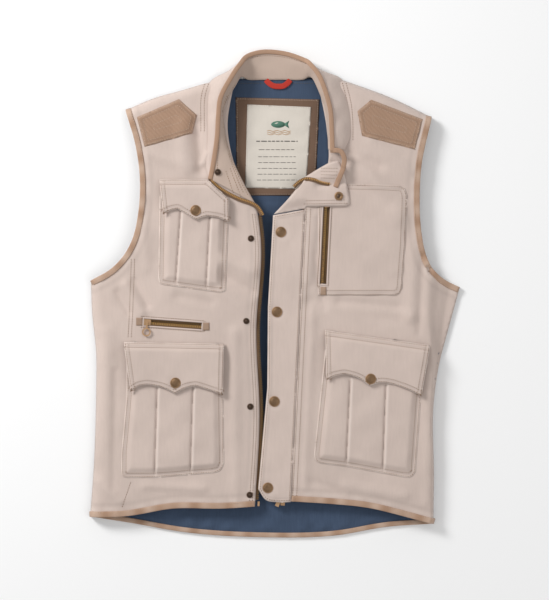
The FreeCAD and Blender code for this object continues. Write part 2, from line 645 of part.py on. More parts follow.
def zip_pocket(name, line, slider_at, bag):
    """Build a pocket zip under its slot in the shell, with the hidden bag round it."""
    group(name + "_tape", [block(name + "_tape_%d" % side, beside(line[0], line, side * 6.7),
                                 beside(line[1], line, side * 6.7), "7.0", "sizes.tape_cloth",
                                 POCKET_CHAIN + " + sizes.tape_rise") for side in (-1, 1)])
    block(name + "_teeth", line[0], line[1], "sizes.chain_width", "sizes.chain_height", POCKET_CHAIN)
    slider(name + "_slider", line, slider_at, POCKET_CHAIN, False)
    (x0, y0), (x1, y1) = bag
    wall = size("cloth")
    outside = plate(name + "_bag_block", ring_of([(x0, y0), (x1, y0), (x1, y1), (x0, y1)]),
                    "sizes.bag_depth",
                    BAG_LEVEL)
    inside = plate(name + "_bag_hollow", ring_of([(x0 + wall, y0 + wall), (x1 - wall, y0 + wall),
                                                  (x1 - wall, y1 - wall), (x0 + wall, y1 - wall)]),
                   "sizes.bag_depth", BAG_LEVEL + " + sizes.lining_cloth")
    cut(name + "_bag", outside, [inside])


zip_pocket("chest_zip", CHEST_ZIP, 12.0, [(60, 0), (188, 168)])
zip_pocket("side_zip", SIDE_ZIP, 6.0, [(-217, -150), (-98, -30)])
CHEST_PANEL = [[(66, 171), (192, 167)], [(192, 167), (201, 162), (204, 150)], [(204, 150), (201, 74)],
               [(201, 74), (196, 8)], [(196, 8), (193, 0), (186, -3)], [(186, -3), (66, -3)],
               [(66, -3), (66, 171)]]
plate("chest_zip_panel", CHEST_PANEL, "sizes.cloth", ON_FRONT, [zip_slot(CHEST_ZIP)])
PULL_LEVEL = POCKET_CHAIN + " + sizes.chain_height + sizes.slider_room + sizes.pull_air"
block("chest_zip_pull", on_line(CHEST_ZIP, 13.0), on_line(CHEST_ZIP, 29.0), "6.0", "sizes.pull_cloth",
      PULL_LEVEL)
ring_centre = (-198, -59)
ring = disc("side_ring_outer", ring_centre, "sizes.ring_outer", "sizes.pull_cloth", PULL_LEVEL)
ring_hole = disc("side_ring_hole", ring_centre, "sizes.ring_inner", "sizes.pull_cloth", PULL_LEVEL)
link = block("side_ring_link", (-197.1, -44.5), (-197.7, -53.5), "2.6", "sizes.pull_cloth", PULL_LEVEL)
fuse("side_zip_pull", [cut("side_ring", ring, [ring_hole]), link])
tab_plates = [plate("tab_chest", turned_box((74.5, 4), 8, 12, 0), "sizes.cloth",
                    ON_FRONT + " + sizes.cloth + sizes.seam_gap")]
for i, centre in enumerate(((-209, -43), (-106, -50.5))):
    tab_plates.append(plate("tab_side_%d" % i, turned_box(centre, 8, 15, -4), "sizes.cloth", ON_FRONT))
group("zip_end_tabs", tab_plates)

# ---------------------------------------------------------------- export
NODES = [
    "back_panel", "back_lining", "side_panel_right", "side_panel_left", "front_panel_right",
    "front_panel_left",
    "front_lining_right", "front_lining_left", "shoulder_patch_right", "shoulder_patch_left",
    "collar_shell", "collar_facing", "collar_binding", "collar_end_left", "collar_snaps",
    "armhole_binding_right", "armhole_binding_left", "back_hem_binding", "front_hem_binding_right",
    "front_hem_binding_left", "neck_patch", "neck_label", "hanger_loop",
    "placket_flap", "placket_snap_caps", "front_snap_studs",
    "front_zip_tape_right", "front_zip_teeth_right", "front_zip_tape_left", "front_zip_teeth_left",
    "front_zip_slider", "front_zip_pull", "front_zip_box_and_pin",
    "chest_zip_panel", "chest_zip_tape", "chest_zip_teeth", "chest_zip_slider", "chest_zip_pull",
    "chest_zip_bag",
    "side_zip_tape", "side_zip_teeth", "side_zip_slider", "side_zip_pull", "side_zip_bag", "zip_end_tabs",
]
for pocket_name in ("chest_pocket", "right_hip_pocket", "left_hip_pocket"):
    for piece in ("face", "gusset", "flap", "snap_cap", "snap_stud"):
        NODES.append(pocket_name + "_" + piece)

doc.recompute()
for item in doc.Objects:
    if "Invalid" in item.State or "Error" in item.State:
        raise RuntimeError("failed to build: " + item.Label)
for node in NODES:
    found = [item for item in doc.getObjectsByLabel(node) if hasattr(item, "Shape")]
    shape = found[0].Shape
    if shape.isNull() or not shape.isValid() or not shape.Solids:
        raise RuntimeError("bad shape: " + node)
    if len(shape.Solids) == 1:
        shape = shape.Solids[0]
    shape.exportStep("parts/%s.step" % node)
print("nodes", len(NODES))
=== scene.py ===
"""Looks of the fishing vest: cloth, seams, zips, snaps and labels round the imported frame."""
import json
import math
import bpy
import numpy as np
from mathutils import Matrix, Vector
from mathutils.geometry import delaunay_2d_cdt

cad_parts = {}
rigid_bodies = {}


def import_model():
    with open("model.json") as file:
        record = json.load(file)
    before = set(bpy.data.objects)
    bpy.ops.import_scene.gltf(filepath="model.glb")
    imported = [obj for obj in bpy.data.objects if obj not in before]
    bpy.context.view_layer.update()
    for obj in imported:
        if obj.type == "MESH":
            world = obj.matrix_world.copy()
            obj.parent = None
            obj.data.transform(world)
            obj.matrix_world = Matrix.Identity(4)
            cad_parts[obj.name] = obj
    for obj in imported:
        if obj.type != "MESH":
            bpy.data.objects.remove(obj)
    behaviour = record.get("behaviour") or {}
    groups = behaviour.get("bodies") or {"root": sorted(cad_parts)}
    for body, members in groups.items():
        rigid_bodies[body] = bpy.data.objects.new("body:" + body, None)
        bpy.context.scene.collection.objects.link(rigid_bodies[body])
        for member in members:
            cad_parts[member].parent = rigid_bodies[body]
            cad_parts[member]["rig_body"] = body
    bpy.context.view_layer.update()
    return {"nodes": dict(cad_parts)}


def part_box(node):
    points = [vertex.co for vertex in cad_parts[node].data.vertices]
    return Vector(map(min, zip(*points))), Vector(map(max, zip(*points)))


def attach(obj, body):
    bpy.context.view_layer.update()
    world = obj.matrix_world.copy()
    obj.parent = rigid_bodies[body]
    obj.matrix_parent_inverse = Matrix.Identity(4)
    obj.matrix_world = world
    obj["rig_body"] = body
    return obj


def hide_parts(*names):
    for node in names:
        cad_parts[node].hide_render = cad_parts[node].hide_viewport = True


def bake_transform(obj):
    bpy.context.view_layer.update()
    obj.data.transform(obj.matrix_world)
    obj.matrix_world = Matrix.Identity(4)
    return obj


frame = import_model()
MM = 0.001
random = np.random.default_rng(7)

# ---------------------------------------------------------------- levels, from the frame (mm)
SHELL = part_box("shoulder_patch_right")[0].z / MM - 0.3
FLOOR_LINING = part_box("back_lining")[1].z / MM
FACE_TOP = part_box("chest_pocket_face")[1].z / MM
PLACKET_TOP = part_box("placket_flap")[1].z / MM
LAPEL_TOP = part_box("collar_end_left")[1].z / MM

# ---------------------------------------------------------------- the vest's lines (mm)
# Two points are a straight line, and more are a smooth curve through them.
SHOULDER_RIGHT = [(-62, 332), (-96, 328), (-147, 314), (-186, 303), (-231, 284)]
ARMHOLE_RIGHT = [(-231, 284), (-215, 229), (-208, 173), (-211, 122), (-219, 86), (-231, 62), (-253, 38),
                 (-285, 20)]
SIDE_RIGHT = [(-285, 20), (-283, -30), (-277, -90), (-277, -160), (-280, -258), (-286, -345)]
HEM_RIGHT = [(-286, -345), (-231, -343), (-157, -331), (-80, -331), (-31, -328)]
EDGE_RIGHT = [(-31, -328), (-24, -188), (-29, -60), (-22, 83), (-27, 127)]
NECK_RIGHT = [(-27, 127), (-57, 184), (-73, 254), (-62, 332)]
SHOULDER_LEFT = [(64, 334), (101, 331), (129, 322), (180, 303), (242, 273)]
ARMHOLE_LEFT = [(242, 273), (225, 192), (223, 153), (225, 99), (232, 62), (240, 43), (260, 23), (286, 10)]
SIDE_LEFT = [(286, 10), (267, -59), (254, -109), (246, -165), (246, -289), (245, -356)]
HEM_LEFT = [(245, -356), (202, -344), (144, -330), (87, -324), (25, -320)]
SEAM_LEFT = [(25, -320), (47, 133)]
NECK_LEFT = [(47, 133), (82, 203), (80, 250), (64, 334)]
BACK_NECK = [(64, 334), (0, 335), (-62, 332)]
BACK_HEM = [(-286, -345), (-222, -355), (-142, -369), (-23, -377), (96, -374), (173, -361), (245, -356)]
FOLD_LEFT = [(236, 22), (234, -27), (238, -65), (242, -97), (243, -149), (243, -240), (242, -350)]


def curve(points, step=4.0):
    """Return points spaced about a step apart along a line or a smooth curve."""
    points = np.array(points, float)
    if len(points) == 2:
        count = max(2, int(np.linalg.norm(points[1] - points[0]) / step) + 1)
        return points[0] + (points[1] - points[0]) * np.linspace(0, 1, count)[:, None]
    knots = np.concatenate([[0], np.cumsum(np.linalg.norm(np.diff(points, axis=0), axis=1))])
    slopes = np.gradient(points, knots, axis=0)
    count = max(len(points), int(knots[-1] / step) + 1)
    places = np.linspace(0, knots[-1], count)
    cell = np.clip(np.searchsorted(knots, places, side="right") - 1, 0, len(knots) - 2)
    width = (knots[cell + 1] - knots[cell])[:, None]
    t = ((places - knots[cell]) / (knots[cell + 1] - knots[cell]))[:, None]
    return ((2 * t**3 - 3 * t**2 + 1) * points[cell] + (t**3 - 2 * t**2 + t) * width * slopes[cell]
            + (3 * t**2 - 2 * t**3) * points[cell + 1] + (t**3 - t**2) * width * slopes[cell + 1])


def loop(strokes, step=4.0):
    """Return the closed outline that the strokes make, without repeated points."""
    return np.concatenate([curve(stroke, step)[:-1] for stroke in strokes])


def distance_to(line, x, y):
    """Return each place's distance to a polyline and how far along it the nearest point is."""
    line = np.asarray(line, float)
    best = np.full(np.shape(x), 1e9)
    along = np.zeros(np.shape(x))
    start = 0.0
    for (ax, ay), (bx, by) in zip(line[:-1], line[1:]):
        length = math.hypot(bx - ax, by - ay)
        t = np.clip(((x - ax) * (bx - ax) + (y - ay) * (by - ay)) / max(length, 1e-6)**2, 0, 1)
        gap = np.hypot(x - ax - t * (bx - ax), y - ay - t * (by - ay))
        closer = gap < best
        best = np.where(closer, gap, best)
        along = np.where(closer, start + t * length, along)
        start += length
    return best, along


def inside(polygon, x, y):
    """Return whether each place is inside a closed polygon."""
    crossings = np.zeros(np.shape(x), bool)
    for (ax, ay), (bx, by) in zip(polygon, np.roll(polygon, -1, axis=0)):
        if ay != by:
            crossings ^= ((ay > y) != (by > y)) & (x < (bx - ax) * (y - ay) / (by - ay) + ax)
    return crossings


WAVES = random.uniform(-1, 1, (12, 2))
WAVES /= np.linalg.norm(WAVES, axis=1)[:, None]
PHASES = random.uniform(0, 2 * math.pi, 12)


def ripple(x, y, scale, shift=0.0):
    """Return smooth unevenness between about -1 and 1, with features of a size."""
    total = 0
    for i, ((wx, wy), phase) in enumerate(zip(WAVES, PHASES)):
        turn = 2 * math.pi / (scale * (0.6 + 0.08 * i))
        total = total + np.sin((x * wx + y * wy) * turn + phase * (1 + shift))
    return total / 5.0


def bump_at(gap, width):
    """Return a smooth bump that is 1 on a line and fades out over a width."""
    return np.exp(-(gap / width) ** 2)


def rise(value, low, high):
    """Return a smooth step from 0 at low to 1 at high."""
    t = np.clip((value - low) / (high - low), 0, 1)
    return t * t * (3 - 2 * t)


# ---------------------------------------------------------------- meshes
def make(name, points, faces, material, body, replaces=()):
    """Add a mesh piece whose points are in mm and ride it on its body."""
    mesh = bpy.data.meshes.new(name)
    mesh.from_pydata([tuple(p) for p in np.asarray(points, float) * MM], [], [tuple(f) for f in faces])
    mesh.update()
    mesh.polygons.foreach_set("use_smooth", [True] * len(mesh.polygons))
    mesh.materials.append(material)
    piece = bpy.data.objects.new(name, mesh)
    bpy.context.scene.collection.objects.link(piece)
    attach(piece, body)
    if replaces:
        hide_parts(*replaces)
    return piece


def add_tone(piece, values):
    """Store the cloth's tone at each point for its material: lighter for wear and painted highlight, darker
    for painted shade and stains.
    """
    layer = piece.data.attributes.new("tone", "FLOAT", "POINT")
    layer.data.foreach_set("value", np.asarray(values, np.float32))


# A cloth's mesh rows, and its points' room from the border, are these shares of its spacing.
ROW_SHARE = 0.87
CLEAR_SHARE = 0.55


def cloth(name, outline, height, material, body, spacing=4.0, thick=1.2, holes=(), replaces=(),
          tone=None):
    """Add a sheet of cloth over a plan outline, with its top surface at height and thick mm deep."""
    border = [np.asarray(outline, float)] + [np.asarray(hole, float) for hole in holes]
    low, high = border[0].min(axis=0), border[0].max(axis=0)
    rows = np.arange(low[1], high[1], spacing * ROW_SHARE)
    places = []
    for i, row in enumerate(rows):
        xs = np.arange(low[0] + (spacing / 2 if i % 2 else 0), high[0], spacing)
        places.append(np.stack([xs, np.full(len(xs), row)], axis=1))
    places = np.concatenate(places)
    keep = inside(border[0], places[:, 0], places[:, 1])
    for hole in border[1:]:
        keep &= ~inside(hole, places[:, 0], places[:, 1])
    places = places[keep]
    for ring in border:
        closed = np.concatenate([ring, ring[:1]])
        gap, _ = distance_to(closed, places[:, 0], places[:, 1])
        places = places[gap > CLEAR_SHARE * spacing]
    edges = []
    start = 0
    for ring in border:
        count = len(ring)
        edges += [(start + i, start + (i + 1) % count) for i in range(count)]
        start += count
    plan = np.concatenate(border + [places])
    found, _, faces, *_ = delaunay_2d_cdt([Vector(p) for p in plan], edges, [], 0, 0.001)
    flat = np.array([(p.x, p.y) for p in found])
    faces = np.array([f[:3] for f in faces])
    centre = flat[faces].mean(axis=1)
    keep = inside(border[0], centre[:, 0], centre[:, 1])
    for hole in border[1:]:
        keep &= ~inside(hole, centre[:, 0], centre[:, 1])
    faces = faces[keep]
    corners = flat[faces]
    turn = np.cross(corners[:, 1] - corners[:, 0], corners[:, 2] - corners[:, 0])
    faces[turn < 0] = faces[turn < 0][:, ::-1]
    top = np.asarray(height(flat[:, 0], flat[:, 1]), float)
    piece = make(name, np.column_stack([flat, top]), faces, material, body, replaces)
    shade = np.zeros(len(flat)) if tone is None else tone(flat[:, 0], flat[:, 1])
    add_tone(piece, shade)
    solid = piece.modifiers.new("thickness", "SOLIDIFY")
    solid.thickness = thick * MM
    solid.offset = -1
    return piece


def sweep(name, path, width, height, material, body, replaces=(), sides=10, closed=False,
          squareness=2.6):
    """Add a soft ribbon or cord: a rounded section swept along a 3-D path in mm."""
    path = np.asarray(path, float)
    count = len(path)
    if closed:
        run = np.roll(path, -1, axis=0) - np.roll(path, 1, axis=0)
    else:
        run = np.gradient(path, axis=0)
    run /= np.linalg.norm(run, axis=1)[:, None]
    side = np.cross((0.0, 0.0, 1.0), run)
    side /= np.linalg.norm(side, axis=1)[:, None]
    up = np.cross(run, side)
    angles = np.linspace(0, 2 * math.pi, sides, endpoint=False)
    across = np.sign(np.cos(angles)) * np.abs(np.cos(angles)) ** (2 / squareness) * width / 2
    over = np.sign(np.sin(angles)) * np.abs(np.sin(angles)) ** (2 / squareness) * height / 2
    points = (path[:, None, :] + side[:, None, :] * across[None, :, None]
              + up[:, None, :] * over[None, :, None]).reshape(-1, 3)
    faces = []
    for i in range(count if closed else count - 1):
        j = (i + 1) % count
        for k in range(sides):
            m = (k + 1) % sides
            faces.append((i * sides + k, i * sides + m, j * sides + m, j * sides + k))
    if not closed:
        faces.append(tuple(reversed(range(sides))))
        faces.append(tuple((count - 1) * sides + k for k in range(sides)))
    piece = make(name, points, faces, material, body, replaces)
    add_tone(piece, np.zeros(len(points)))
    return piece


def lathe(profile, centre, turns=40):
    """Return the points and faces of a closed profile of (radius, height) spun about a vertical axis."""
    points = []
    faces = []
    for radius, level in profile:
        for k in range(turns):
            angle = 2 * math.pi * k / turns
            points.append((centre[0] + radius * math.cos(angle), centre[1] + radius * math.sin(angle),
                           centre[2] + level))
    for i in range(len(profile) - 1):
        for k in range(turns):
            m = (k + 1) % turns
            faces.append((i * turns + k, i * turns + m, (i + 1) * turns + m, (i + 1) * turns + k))
    faces.append(tuple(range(turns))[::-1])
    faces.append(tuple((len(profile) - 1) * turns + k for k in range(turns)))
    return points, faces


def joined(parts):
    """Return several (points, faces) as one."""
    points = []
    faces = []
    for more_points, more_faces in parts:
        base = len(points)
        points += [tuple(p) for p in more_points]
        faces += [tuple(base + i for i in face) for face in more_faces]
    return points, faces


# ---------------------------------------------------------------- materials
def colour(red, green, blue):
    """Return an sRGB colour, given from 0 to 255, as the linear colour that shaders take."""
    parts = [c / 255 for c in (red, green, blue)]
    return tuple(c / 12.92 if c <= 0.04045 else ((c + 0.055) / 1.055) ** 2.4 for c in parts) + (1.0,)


def mixed(nodes, links, factor, low, high, blend="MIX"):
    """Add a colour mix, each side a socket or a colour, and return its result."""
    mix = nodes.new("ShaderNodeMix")
    mix.data_type = "RGBA"
    mix.blend_type = blend
    for socket, value in ((mix.inputs[0], factor), (mix.inputs[6], low), (mix.inputs[7], high)):
        if hasattr(value, "is_linked"):
            links.new(value, socket)
        else:
            socket.default_value = value
    return mix.outputs[2]


def scaled(tint, share):
    """Return a colour made lighter or darker."""
    return tuple(min(1.0, c * share) for c in tint[:3]) + (1.0,)


def started(name):
    """Add a material and return it with its nodes, links and shader."""
    material = bpy.data.materials.new(name)
    material.use_nodes = True
    nodes = material.node_tree.nodes
    return material, nodes, material.node_tree.links, nodes["Principled BSDF"]


def node_of(nodes, kind, **values):
    """Add a shader node with its input values, each named with _ for a space."""
    node = nodes.new("ShaderNode" + kind)
    for name, value in values.items():
        node.inputs[name.replace("_", " ")].default_value = value
    return node


# The wave texture repeats after this length, in metres, at a scale of 1.
WAVE_LENGTH = 0.314


def fabric(name, tint, rib_mm=1.0, relief=0.12, rib_turn=0.9, wear_and_highlight_tint=None, rough=0.92, sheen=0.15, blotch=0.06,
           slub=0.10, cross=False):
    """Return a woven cotton: ribs or a plain weave, slubs, soft blotches, and wear, painted highlight and
    painted shade from the piece's tone.
    """
    material, nodes, links, shader = started(name)
    shader.inputs["Roughness"].default_value = rough
    shader.inputs["Sheen Weight"].default_value = sheen
    shader.inputs["Sheen Roughness"].default_value = 0.5
    shader.inputs["Specular IOR Level"].default_value = 0.25
    place = nodes.new("ShaderNodeTexCoord")
    turned = node_of(nodes, "Mapping", Rotation=(0, 0, rib_turn))
    links.new(place.outputs["Object"], turned.inputs["Vector"])

    def wave(direction):
        rib = node_of(nodes, "TexWave", Scale=WAVE_LENGTH / (rib_mm * MM), Distortion=1.2, Detail=2,
                      Detail_Scale=1.5)
        rib.bands_direction = direction
        links.new(turned.outputs["Vector"], rib.inputs["Vector"])
        return rib.outputs["Fac"]

    def noise(scale, detail, stretch=None):
        grain = node_of(nodes, "TexNoise", Scale=scale, Detail=detail)
        source = place.outputs["Object"]
        if stretch:
            longer = node_of(nodes, "Mapping", Scale=stretch)
            links.new(source, longer.inputs["Vector"])
            source = longer.outputs["Vector"]
        links.new(source, grain.inputs["Vector"])
        return grain.outputs["Fac"]

    weave = wave("X")
    if cross:
        both = nodes.new("ShaderNodeMath")
        both.operation = "MAXIMUM"
        links.new(weave, both.inputs[0])
        links.new(wave("Y"), both.inputs[1])
        weave = both.outputs[0]
    base = mixed(nodes, links, noise(14, 5), scaled(tint, 1 - 2 * blotch), scaled(tint, 1 + 2 * blotch))
    threads = mixed(nodes, links, noise(420, 3, (1, 0.12, 1)), scaled((1, 1, 1), 1 - slub), (1, 1, 1, 1))
    base = mixed(nodes, links, 1.0, base, threads, "MULTIPLY")
    ribbed = mixed(nodes, links, weave, (0.90, 0.90, 0.90, 1), (1, 1, 1, 1))
    base = mixed(nodes, links, 1.0, base, ribbed, "MULTIPLY")
    # The piece's tone paints the colour: above 0 toward the light tint, for wear and painted highlight;
    # below 0 toward a dark tint, for painted shade and stains.
    tone = nodes.new("ShaderNodeAttribute")
    tone.attribute_name = "tone"
    for sign, target in ((1, wear_and_highlight_tint or scaled(tint, 1.25)), (-1, scaled(tint, 0.35))):
        share = nodes.new("ShaderNodeMath")
        share.operation = "MULTIPLY"
        share.use_clamp = True
        share.inputs[1].default_value = sign
        links.new(tone.outputs["Fac"], share.inputs[0])
        base = mixed(nodes, links, share.outputs[0], base, target)
    links.new(base, shader.inputs["Base Color"])
    fine = node_of(nodes, "Bump", Distance=relief * MM, Strength=0.8)
    links.new(weave, fine.inputs["Height"])
    coarse = node_of(nodes, "Bump", Distance=0.9 * MM, Strength=0.35)
    links.new(noise(90, 4), coarse.inputs["Height"])
    links.new(fine.outputs["Normal"], coarse.inputs["Normal"])
    links.new(coarse.outputs["Normal"], shader.inputs["Normal"])
    return material


def metal(name, tint, dark, rough=0.38):
    """Return an aged metal: bright where it is rubbed and dark in patches."""
    material, nodes, links, shader = started(name)
    shader.inputs["Metallic"].default_value = 0.9
    place = nodes.new("ShaderNodeTexCoord")
    patches = node_of(nodes, "TexNoise", Scale=480, Detail=6)
    links.new(place.outputs["Object"], patches.inputs["Vector"])
    edges = nodes.new("ShaderNodeNewGeometry")
    base = mixed(nodes, links, patches.outputs["Fac"], dark, tint)
    rubbed = node_of(nodes, "MapRange", From_Min=0.52, From_Max=0.62)
    links.new(edges.outputs["Pointiness"], rubbed.inputs["Value"])
    base = mixed(nodes, links, rubbed.outputs["Result"], base, scaled(tint, 1.6))
    links.new(base, shader.inputs["Base Color"])
    gloss = node_of(nodes, "MapRange", To_Min=rough, To_Max=rough + 0.25)
    links.new(patches.outputs["Fac"], gloss.inputs["Value"])
    links.new(gloss.outputs["Result"], shader.inputs["Roughness"])
    grain = node_of(nodes, "Bump", Distance=0.15 * MM, Strength=0.5)
    links.new(patches.outputs["Fac"], grain.inputs["Height"])
    links.new(grain.outputs["Normal"], shader.inputs["Normal"])
    return material


TWILL = fabric("shell_twill", colour(211, 193, 183), 0.9, 0.10, 0.9, wear_and_highlight_tint=colour(230, 217, 208))
TWILL_DARK = fabric("collar_twill", colour(196, 175, 161), 0.9, 0.10, 0.9)
BINDING = fabric("tan_trim", colour(178, 144, 120), 0.8, 0.14, 0.2, rough=0.88, wear_and_highlight_tint=colour(206, 182, 164))
CORDUROY = fabric("tan_corduroy", colour(178, 144, 120), 1.9, 0.7, 0.25, rough=0.95, sheen=0.4,
                  wear_and_highlight_tint=colour(190, 160, 138))
CHAMBRAY = fabric("blue_lining", colour(70, 86, 110), 0.7, 0.08, 0.0, cross=True, slub=0.3, blotch=0.08,
                  wear_and_highlight_tint=colour(120, 140, 165))
FRAME_CLOTH = fabric("brown_frame", colour(122, 97, 80), 0.7, 0.10, 0.0, cross=True, slub=0.2)
CREAM = fabric("cream_label", colour(216, 208, 197), 0.5, 0.05, 0.0, cross=True, slub=0.05, rough=0.7)
RED_TAPE = fabric("red_tape", colour(188, 52, 38), 0.9, 0.15, 0.3, rough=0.7)
ZIP_CLOTH = fabric("zip_tape", colour(122, 96, 74), 0.8, 0.15, 0.8)
TAB_CLOTH = fabric("end_tab", colour(166, 140, 120), 0.8, 0.12, 0.4)
THREAD = fabric("thread", colour(136, 102, 72), 0.4, 0.05, 0.5, rough=0.7)
THREAD_TAN = fabric("thread_tan", colour(196, 170, 150), 0.4, 0.05, 0.5, rough=0.7)
INK = fabric("label_ink", colour(92, 88, 84), 0.4, 0.03, 0.5)
TEAL = fabric("motif_thread", colour(88, 128, 110), 0.4, 0.05, 0.5)
OCHRE = fabric("motif_thread_warm", colour(190, 140, 84), 0.4, 0.05, 0.5)
BRASS = metal("aged_brass", colour(158, 128, 98), colour(88, 66, 48))
DARK_BRASS = metal("dark_brass", colour(96, 78, 66), colour(44, 36, 32), 0.42)
TEETH = metal("brass_teeth", colour(190, 154, 100), colour(104, 76, 44), 0.32)

# ---------------------------------------------------------------- how the cloth lies (mm)
# A fold is a start, an end, a width and a height; below 0 it is a hollow.
FOLDS_RIGHT = [
    ((-230, 14), (-205, -30), 7, 1.8), ((-216, 20), (-196, -18), 5, -1.4), ((-243, 2), (-226, -30), 5, -1.2),
    ((-120, 262), (-113, 192), 9, -2.6), ((-142, 262), (-138, 190), 12, 1.4),
    ((-104, 216), (-112, 200), 4, 1.6),
    ((-96, 36), (-36, 4), 9, -2.0), ((-96, 58), (-34, 34), 10, 1.6), ((-84, 4), (-30, -40), 9, 1.2),
    ((-62, -60), (-60, -320), 9, 1.1), ((-258, -60), (-256, -300), 12, 1.2),
    ((-246, -120), (-250, -300), 6, -0.9),
    ((-190, 215), (-130, 196), 10, 1.2), ((-206, 150), (-198, 40), 9, 0.9),
    ((-150, -4), (-100, -14), 7, -1.0),
    ((-200, -296), (-110, -300), 7, 1.1), ((-270, -290), (-240, -320), 8, 1.2),
]
FOLDS_LEFT = [
    ((128, 204), (192, 118), 15, 1.8), ((112, 214), (160, 196), 9, -1.8), ((150, 234), (210, 190), 12, 1.2),
    ((60, 120), (52, 20), 7, 1.2), ((58, -20), (44, -300), 8, 1.1), ((76, -20), (210, -34), 9, 1.2),
    ((100, -12), (190, -20), 6, -0.9), ((214, 80), (208, -40), 9, 1.0), ((236, -120), (234, -320), 8, 1.1),
    ((110, -296), (200, -312), 8, 1.1), ((60, -290), (100, -305), 7, -0.9), ((228, 60), (222, -60), 5, -0.9),
    ((122, 172), (176, 142), 12, -1.6), ((56, -14), (190, -36), 11, -1.3), ((62, 60), (76, -22), 6, -0.9),
]
FOLD_DEPTH = 2.2
LOWEST_SHELL = 5.0
LINE = {name: curve(points, 3.0) for name, points in (
    ("shoulder_right", SHOULDER_RIGHT), ("armhole_right", ARMHOLE_RIGHT), ("side_right", SIDE_RIGHT),
    ("hem_right", HEM_RIGHT), ("edge_right", EDGE_RIGHT), ("neck_right", NECK_RIGHT),
    ("shoulder_left", SHOULDER_LEFT), ("armhole_left", ARMHOLE_LEFT), ("side_left", SIDE_LEFT),
    ("hem_left", HEM_LEFT), ("seam_left", SEAM_LEFT), ("neck_left", NECK_LEFT), ("fold_left", FOLD_LEFT),
    ("back_hem", BACK_HEM))}


def folds(table, x, y):
    """Return the height that the listed folds add."""
    total = 0
    for start, end, width, height in table:
        gap, _ = distance_to([start, end], x, y)
        total = total + FOLD_DEPTH * height * bump_at(gap, width)
    return total


def rounded(gap, radius, drop):
    """Return how far cloth falls as it turns over an edge, from its distance to the edge."""
    t = np.clip(1 - gap / radius, 0, 1)
    return drop * (1 - np.sqrt(np.clip(1 - t * t, 0, 1)))


def pucker(line, x, y, reach=9.0, wave=8.0, height=0.45):
    """Return the small gathers that stitching draws up beside a seam."""
    gap, along = distance_to(line, x, y)
    uneven = along + 3.0 * np.sin(along / 13.0)
    patchy = 0.6 + 0.4 * np.sin(along / 31.0)
    return height * np.exp(-gap / reach) * np.sin(2 * math.pi * uneven / wave) * patchy


def soft_front(table, seams, x, y):
    """Return a front before its edges turn down: ripples, folds and the puckers along its seams."""
    z = SHELL + 0.4 + 0.9 * ripple(x, y, 140) + 0.35 * ripple(x, y, 46, 1) + folds(table, x, y)
    for seam in seams:
        z = z + pucker(LINE[seam], x, y)
    return z


def shell_right(x, y):
    """Return the top of the right front's shell."""
    z = soft_front(FOLDS_RIGHT, ("hem_right", "armhole_right", "edge_right"), x, y)
    side, _ = distance_to(LINE["side_right"], x, y)
    shoulder, _ = distance_to(LINE["shoulder_right"], x, y)
    armhole, _ = distance_to(LINE["armhole_right"], x, y)
    edge, _ = distance_to(LINE["edge_right"], x, y)
    z = z - rounded(side, 17, 15.0) - rounded(shoulder, 15, 14.0) - rounded(armhole, 12, 3.0)
    z = z - 1.0 * bump_at(edge, 5)
    return np.maximum(z, LOWEST_SHELL)


def shell_left(x, y):
    """Return the top of the left front's shell, which falls away outside its side fold."""
    z = soft_front(FOLDS_LEFT, ("hem_left", "armhole_left", "seam_left"), x, y)
    shoulder, _ = distance_to(LINE["shoulder_left"], x, y)
    armhole, _ = distance_to(LINE["armhole_left"], x, y)
    seam, _ = distance_to(LINE["seam_left"], x, y)
    z = z - rounded(shoulder, 15, 14.0) - rounded(armhole, 12, 3.0) + 1.4 * bump_at(seam, 6)
    fold, _ = distance_to(LINE["fold_left"], x, y)
    side, _ = distance_to(LINE["side_left"], x, y)
    order = np.argsort(LINE["fold_left"][:, 1])
    fold_x = np.interp(y, LINE["fold_left"][order, 1], LINE["fold_left"][order, 0])
    outside = (x > fold_x) & (y < 60)
    share = fold / np.maximum(fold + side, 0.01)
    fallen = (z - 2.4) * (0.35 * rise(share, 0.0, 0.35) + 0.65 * rise(share, 0.1, 1.0))
    near = rounded(side, 9, 9.0)
    return np.maximum(np.where(outside, z - np.maximum(fallen, near), z - rounded(side, 6, 7.0)),
                      LOWEST_SHELL)


def shell(x, y):
    """Return the top of whichever front is there."""
    return np.where(np.asarray(x) < 0, shell_right(x, y), shell_left(x, y))


# Between these two places along x the fronts leave the lining bare.
OPEN_FROM = -20
OPEN_TO = 30


def lining_floor(x, y):
    """Return the top of the back lining: nearly flat, with soft wrinkles."""
    z = FLOOR_LINING + 1.4 + 0.9 * ripple(x, y, 90, 2) + 0.5 * ripple(x, y, 30, 3)
    gap, along = distance_to(LINE["back_hem"], x, y)
    z = z + 1.5 * np.exp(-((gap - 12) / 12.0) ** 2) * np.sin(along / 7.0 + 2 * np.sin(along / 29.0))
    label = (np.abs(x - 4) < 74) & (y > 140)
    z = np.where(label, FLOOR_LINING + 0.1, np.clip(z, FLOOR_LINING - 0.3, 6.5))
    z = z - (z - FLOOR_LINING) * (1 - rise(gap, 7.0, 13.0))
    covered = (x < OPEN_FROM) | (x > OPEN_TO)
    return np.where(covered, np.minimum(z, shell(x, y) - 2.0), z)


def seam_tone(lines, reach=3.0, light=0.22, dark=0.14):
    """Return a tone that is lighter along the seams, as wear and a painted highlight on their ridge, and
    darker just beside them, as painted shade.
    """
    def tone(x, y):
        total = 0
        for line in lines:
            gap, along = distance_to(line, x, y)
            patchy = 0.55 + 0.45 * np.sin(along / 5.0 + 2.0 * np.sin(along / 17.0))
            total = total + light * patchy * bump_at(gap, reach) - dark * bump_at(gap - 2.4 * reach, reach)
        return np.clip(total, -0.5, 0.8)
    return tone


